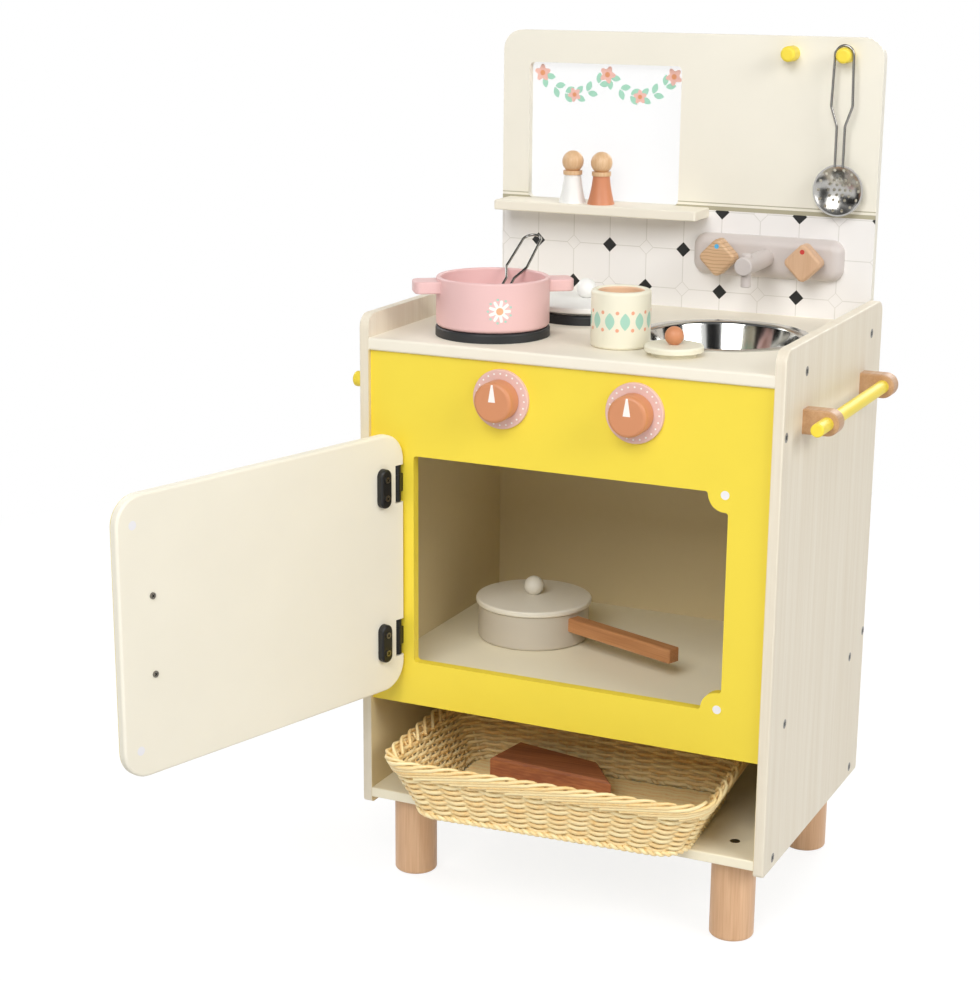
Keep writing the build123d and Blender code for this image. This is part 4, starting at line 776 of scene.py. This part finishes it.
def on_wall(share, height, inset):
    """A place on the flared wall at a share of the way round, and the way straight out of it."""
    up = height / BASKET_HEIGHT
    width, depth, radius = (base + (rim - base) * up for base, rim in zip(BASKET_BASE, BASKET_RIM))
    runs = [width - 2 * radius, depth - 2 * radius] * 2
    bend = math.pi / 2 * radius
    travel = share % 1 * (sum(runs) + 4 * bend)
    for side, run in enumerate(runs):
        along, across = runs[side], runs[side - 1]
        if travel <= run:
            place, lean = Vector((travel - along / 2, -across / 2 - radius + inset)), 0.0
            break
        travel -= run
        if travel <= bend:
            lean = travel / radius
            reach = radius - inset
            place = Vector((along / 2 + reach * math.sin(lean), -across / 2 - reach * math.cos(lean)))
            break
        travel -= bend
    quarter = Matrix.Rotation(side * math.pi / 2, 2)
    place = quarter @ place
    out = quarter @ Vector((math.sin(lean), -math.cos(lean)))
    facing = Matrix.Rotation(BASKET_TURN, 3, "Z") @ Vector((out.x, out.y, 0))
    return on_basket(place.x, place.y, height), facing


def wall_line(points):
    """A line on the wall through places given as share, height, inset and phase."""
    line = []
    for share, height, inset, turn in points:
        place, out = on_wall(share, height, inset)
        line.append((place, out, turn))
    return line


STEPS_PER_STAKE = 6
FIRST_ROW = 5
LAST_ROW = BASKET_HEIGHT - 5
STAKE_HEIGHTS = (2, 20, 40, BASKET_HEIGHT - 3)
row_count = int((LAST_ROW - FIRST_ROW) / ROW_PITCH)
weavers = []
for row in range(row_count):
    count = STAKES * STEPS_PER_STAKE
    weavers.append(wall_line([(i / count, FIRST_ROW + row * ROW_PITCH, BASKET_WALL / 2,
                               math.pi * (i / STEPS_PER_STAKE + row % 2)) for i in range(count)]))
stakes = [wall_line([((k + 0.5) / STAKES, height, BASKET_WALL / 2, 0) for height in STAKE_HEIGHTS])
          for k in range(STAKES)]

# Rim: reeds that climb the band at a slant, then pass over the edge and down inside. A place on a reed is
# a share of its run along the wall, and in mm a height from the rim and an inset from the wall's face.
WRAPS = 52
WRAP_RUN = 0.088
CLIMB_STEPS = 12
WRAP_FOOT = -16.2
WRAP_HEAD = -3.2
climb = [(step / CLIMB_STEPS, WRAP_FOOT + (WRAP_HEAD - WRAP_FOOT) * step / CLIMB_STEPS, -1.4)
         for step in range(CLIMB_STEPS)]
WRAP_OVER = ((1.0, -2.2, -0.4), (1.06, -1.5, 1.2), (1.12, -1.4, 3.4), (1.18, -2.4, 5.6), (1.24, -5.2, 6.8),
             (1.30, -9.6, 7.0))
wraps = [wall_line([(k / WRAPS + share * WRAP_RUN, BASKET_HEIGHT + height, inset, 0)
                    for share, height, inset in (*climb, *WRAP_OVER)]) for k in range(WRAPS)]

# Foot: two strands twisted together round the base
FOOT_TWISTS = 58
FOOT_STEPS = 8
FOOT_HEIGHT = 3.7
FOOT_TWIST = 1.6
FOOT_INSET = 0.6
foot = []
for start in (0, math.pi):
    turns = [math.tau * i / FOOT_STEPS + start for i in range(FOOT_TWISTS * FOOT_STEPS)]
    foot.append(wall_line([(i / len(turns), FOOT_HEIGHT + FOOT_TWIST * math.sin(turn),
                            FOOT_INSET + FOOT_TWIST * math.cos(turn), 0) for i, turn in enumerate(turns)]))

# Floor: fine strands side by side that arch over the ribs below them
FLOOR_HEIGHT = 2.4
RIB_PITCH = 22.0
floor_lines = []
floor_depth = BASKET_BASE[1] - 2 * BASKET_WALL
for row in range(int(floor_depth / ROW_PITCH)):
    y = (row + 0.5) * ROW_PITCH - floor_depth / 2
    corner = BASKET_BASE[2] - BASKET_WALL
    corner_depth = max(0.0, abs(y) - floor_depth / 2 + corner)
    half = BASKET_BASE[0] / 2 - BASKET_WALL - corner + math.sqrt(corner ** 2 - corner_depth ** 2)
    count = int(2 * half / RIB_PITCH * STEPS_PER_STAKE)
    places = [half * (2 * i / count - 1) for i in range(count + 1)]
    floor_lines.append([(on_basket(x, y, FLOOR_HEIGHT), Vector((0, 0, 1)),
                         abs(math.sin(math.pi * x / RIB_PITCH))) for x in places])

# Each kind of strand with its width, thickness, swing and sag in mm
cane_parts = []
for part, lines, closed, *sizes in (
    ("weavers", weavers, True, 4.4, 2.4, 2.1, 1.4),
    ("stakes", stakes, False, 2.2, 2.2, 0.0, 0.0),
    ("wraps", wraps, False, 3.7, 3.3, 0.0, 0.0),
    ("foot", foot, True, 3.8, 3.8, 0.0, 0.0),
    ("floor", floor_lines, False, 1.9, 3.3, 1.4, 0.0),
):
    values = {label: length * MM for label, length in zip(("Width", "Thickness", "Swing", "Sag"), sizes)}
    cane_parts.append(grown(part, guide(part, lines, closed), strand_tree, {"Material": cane, **values}))
basket_mesh = joined("woven_basket", cane_parts)
woven_basket = seat("woven_basket", basket_mesh, "wicker_basket", "straw")
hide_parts("basket")


# A flat plate on each point of its guide, with lobes or pointed ends, facing the way that the guide gives
plate_tree, plate = new_tree("flat_plate", Lobes="Float", Waist="Float", Narrow="Float", Point="Float",
                             Thickness="Float")
PLATE_SIDES = 40
disc = put(plate_tree, "GeometryNodeMeshCylinder",
           {"Vertices": PLATE_SIDES, "Radius": 1.0, "Depth": plate["Thickness"]}, fill_type="TRIANGLE_FAN")
corner = put(plate_tree, "ShaderNodeSeparateXYZ", {0: put(plate_tree, "GeometryNodeInputPosition")}).outputs
compass = put(plate_tree, "ShaderNodeMath", {0: corner[1], 1: corner[0]}, operation="ARCTAN2")
ripple = put(plate_tree, "ShaderNodeMath", {0: compass, 1: plate["Lobes"]}, operation="MULTIPLY")
lobe = put(plate_tree, "ShaderNodeMath", {0: ripple}, operation="COSINE")
reach = put(plate_tree, "ShaderNodeMapRange", {0: lobe, 1: -1.0, 2: 1.0, 3: plate["Waist"], 4: 1.0})
off_line = put(plate_tree, "ShaderNodeMath", {0: corner[1]}, operation="ABSOLUTE")
taper = put(plate_tree, "ShaderNodeMath", {0: off_line, 1: plate["Point"]}, operation="POWER")
slim = put(plate_tree, "ShaderNodeMath", {0: taper, 1: plate["Narrow"]}, operation="MULTIPLY")
pointed = put(plate_tree, "ShaderNodeMath", {0: corner[1], 1: slim}, operation="MULTIPLY")
lobed = [put(plate_tree, "ShaderNodeMath", {0: side, 1: reach}, operation="MULTIPLY")
         for side in (corner[0], pointed)]
rim = put(plate_tree, "ShaderNodeCombineXYZ", {0: lobed[0], 1: lobed[1], 2: corner[2]})
outline = put(plate_tree, "GeometryNodeSetPosition", {"Geometry": disc, "Position": rim})
facing = put(plate_tree, "GeometryNodeInputNamedAttribute", {"Name": "facing"}, data_type="FLOAT_VECTOR")
lean = put(plate_tree, "GeometryNodeInputNamedAttribute", {"Name": "lean"}, data_type="FLOAT")
size = put(plate_tree, "GeometryNodeInputNamedAttribute", {"Name": "size"}, data_type="FLOAT")
faced = put(plate_tree, "FunctionNodeAlignRotationToVector", {"Vector": facing}, axis="Z")
tip = put(plate_tree, "ShaderNodeCombineXYZ", {2: lean})
leaning = put(plate_tree, "FunctionNodeEulerToRotation", {0: tip})
spun = put(plate_tree, "FunctionNodeRotateRotation", {0: faced, 1: leaning}, rotation_space="LOCAL")
spread = put(plate_tree, "ShaderNodeCombineXYZ", {0: size, 1: size, 2: 1.0})
placed = put(plate_tree, "GeometryNodeInstanceOnPoints",
             {"Points": plate["Geometry"], "Instance": outline, "Rotation": spun, "Scale": spread})
end_tree(plate_tree, placed, plate["Material"], False)


def plates(name, spots, body, slot, material, **shape):
    """Flat plates at spots, each a place, the way it faces, its half length in mm and its lean in degrees."""
    mesh = bpy.data.meshes.new(name + "_spots")
    mesh.from_pydata([spot[0] for spot in spots], [], [])
    carry(mesh, "facing", [share for spot in spots for share in spot[1]], "FLOAT_VECTOR")
    carry(mesh, "size", [spot[2] * MM for spot in spots])
    carry(mesh, "lean", [math.radians(spot[3]) for spot in spots])
    values = {"Material": material, "Lobes": 0.0, "Waist": 1.0, "Narrow": 1.0, "Point": 0.0, **shape}
    return seat(name, grown(name, mesh, plate_tree, values), body, slot)


# Garland on the pane: blossoms with round eyes and pairs of leaves, along two swags
WINDOW_SIDES = (-170.5, -4.5)
WINDOW_HEAD = 793
SWAGS = 2
SWAG_DROP = 21
SWAG_INSET = 11
LEAVES_PER_SWAG = 6
PRINT_THICKNESS = 0.3 * MM
pane_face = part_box("window_pane")[0].y
FRONT = Vector((0, -1, 0))


def on_swag(share, off=0.0, proud=0.0):
    """A place on the swags at a share of the window's width, off to one side, and their line's lean."""
    run = WINDOW_SIDES[1] - WINDOW_SIDES[0] - 2 * SWAG_INSET
    part = share * SWAGS % 1
    slope = math.atan2(-4 * SWAG_DROP * (1 - 2 * part) * SWAGS, run)
    x = WINDOW_SIDES[0] + SWAG_INSET + share * run - off * math.sin(slope)
    z = WINDOW_HEAD - SWAG_INSET - 4 * SWAG_DROP * part * (1 - part) + off * math.cos(slope)
    return Vector((x * MM, pane_face - proud * MM, z * MM)), math.degrees(slope)


BLOSSOM_HALVES = (9.0, 7.5)
BLOSSOM_LEAN = (18, 25)
EYE_SHARE = 0.3
LEAF_OFF = 4.2
LEAF_HALF = 5.6
LEAF_LEAN = 38
# Inks that overlap lie at heights a little apart
LEAF_STAGGER = 0.05
BLOSSOM_PROUD = 0.1
EYE_PROUD = 0.2
blossom_spots, eye_spots, leaf_spots = [], [], []
for step in range(2 * SWAGS + 1):
    half = BLOSSOM_HALVES[step % 2]
    lean_first, lean_step = BLOSSOM_LEAN
    share = step / (2 * SWAGS)
    blossom_spots.append((on_swag(share, proud=BLOSSOM_PROUD)[0], FRONT, half, lean_first + lean_step * step))
    eye_spots.append((on_swag(share, proud=EYE_PROUD)[0], FRONT, EYE_SHARE * half, 0))
for step in range(SWAGS * LEAVES_PER_SWAG):
    for side in (1, -1):
        share = (step + 0.5) / (SWAGS * LEAVES_PER_SWAG)
        spot, slope = on_swag(share, LEAF_OFF * side, LEAF_STAGGER * (step % 2))
        leaf_spots.append((spot, FRONT, LEAF_HALF, slope + LEAF_LEAN * side))

# Screen-printed enamel inks: flat, opaque and faintly glossy
for name, spots, slot, ink, code, shape in (
    ("window_leaves", leaf_spots, "cream_paint", "mint", "A8DAC2", {"Narrow": 0.55, "Point": 0.8}),
    ("window_blossoms", blossom_spots, "pink_paint", "coral", "F0BFB3", {"Lobes": 5.0, "Waist": 0.62}),
    ("window_blossom_eyes", eye_spots, "terracotta_paint", "amber", "E29A6E", {}),
):
    plates(name, spots, "cabinet", slot, satin_paint(ink + "_enamel_print", code, 0.35),
           Thickness=PRINT_THICKNESS, **shape)

# Cross recesses of the screws and bolts: flat dark crosses of painted shade on the heads, with a steel sheen
recess_shade = steel("recess_painted_shade", "2A2927", 0.45, 0.4)
SIDEWAYS = Vector((1, 0, 0))
SCREW_RECESS = (1.9, 20)
BOLT_RECESS = (2.6, 45)
screw_spots = [(spot, -DOOR_OUT, *SCREW_RECESS) for spot in tops("door_screws", -DOOR_OUT)]
bolt_spots = [(spot, way, *BOLT_RECESS) for way in (SIDEWAYS, -SIDEWAYS) for spot in tops("side_bolts", way)
              if spot.dot(way) > 0]
for name, spots, body in (("door_screw_recess_shades", screw_spots, "oven_door"),
                          ("side_bolt_recess_shades", bolt_spots, "cabinet")):
    plates(name, spots, body, "black_metal", recess_shade, Lobes=4.0, Waist=0.25, Thickness=PRINT_THICKNESS)
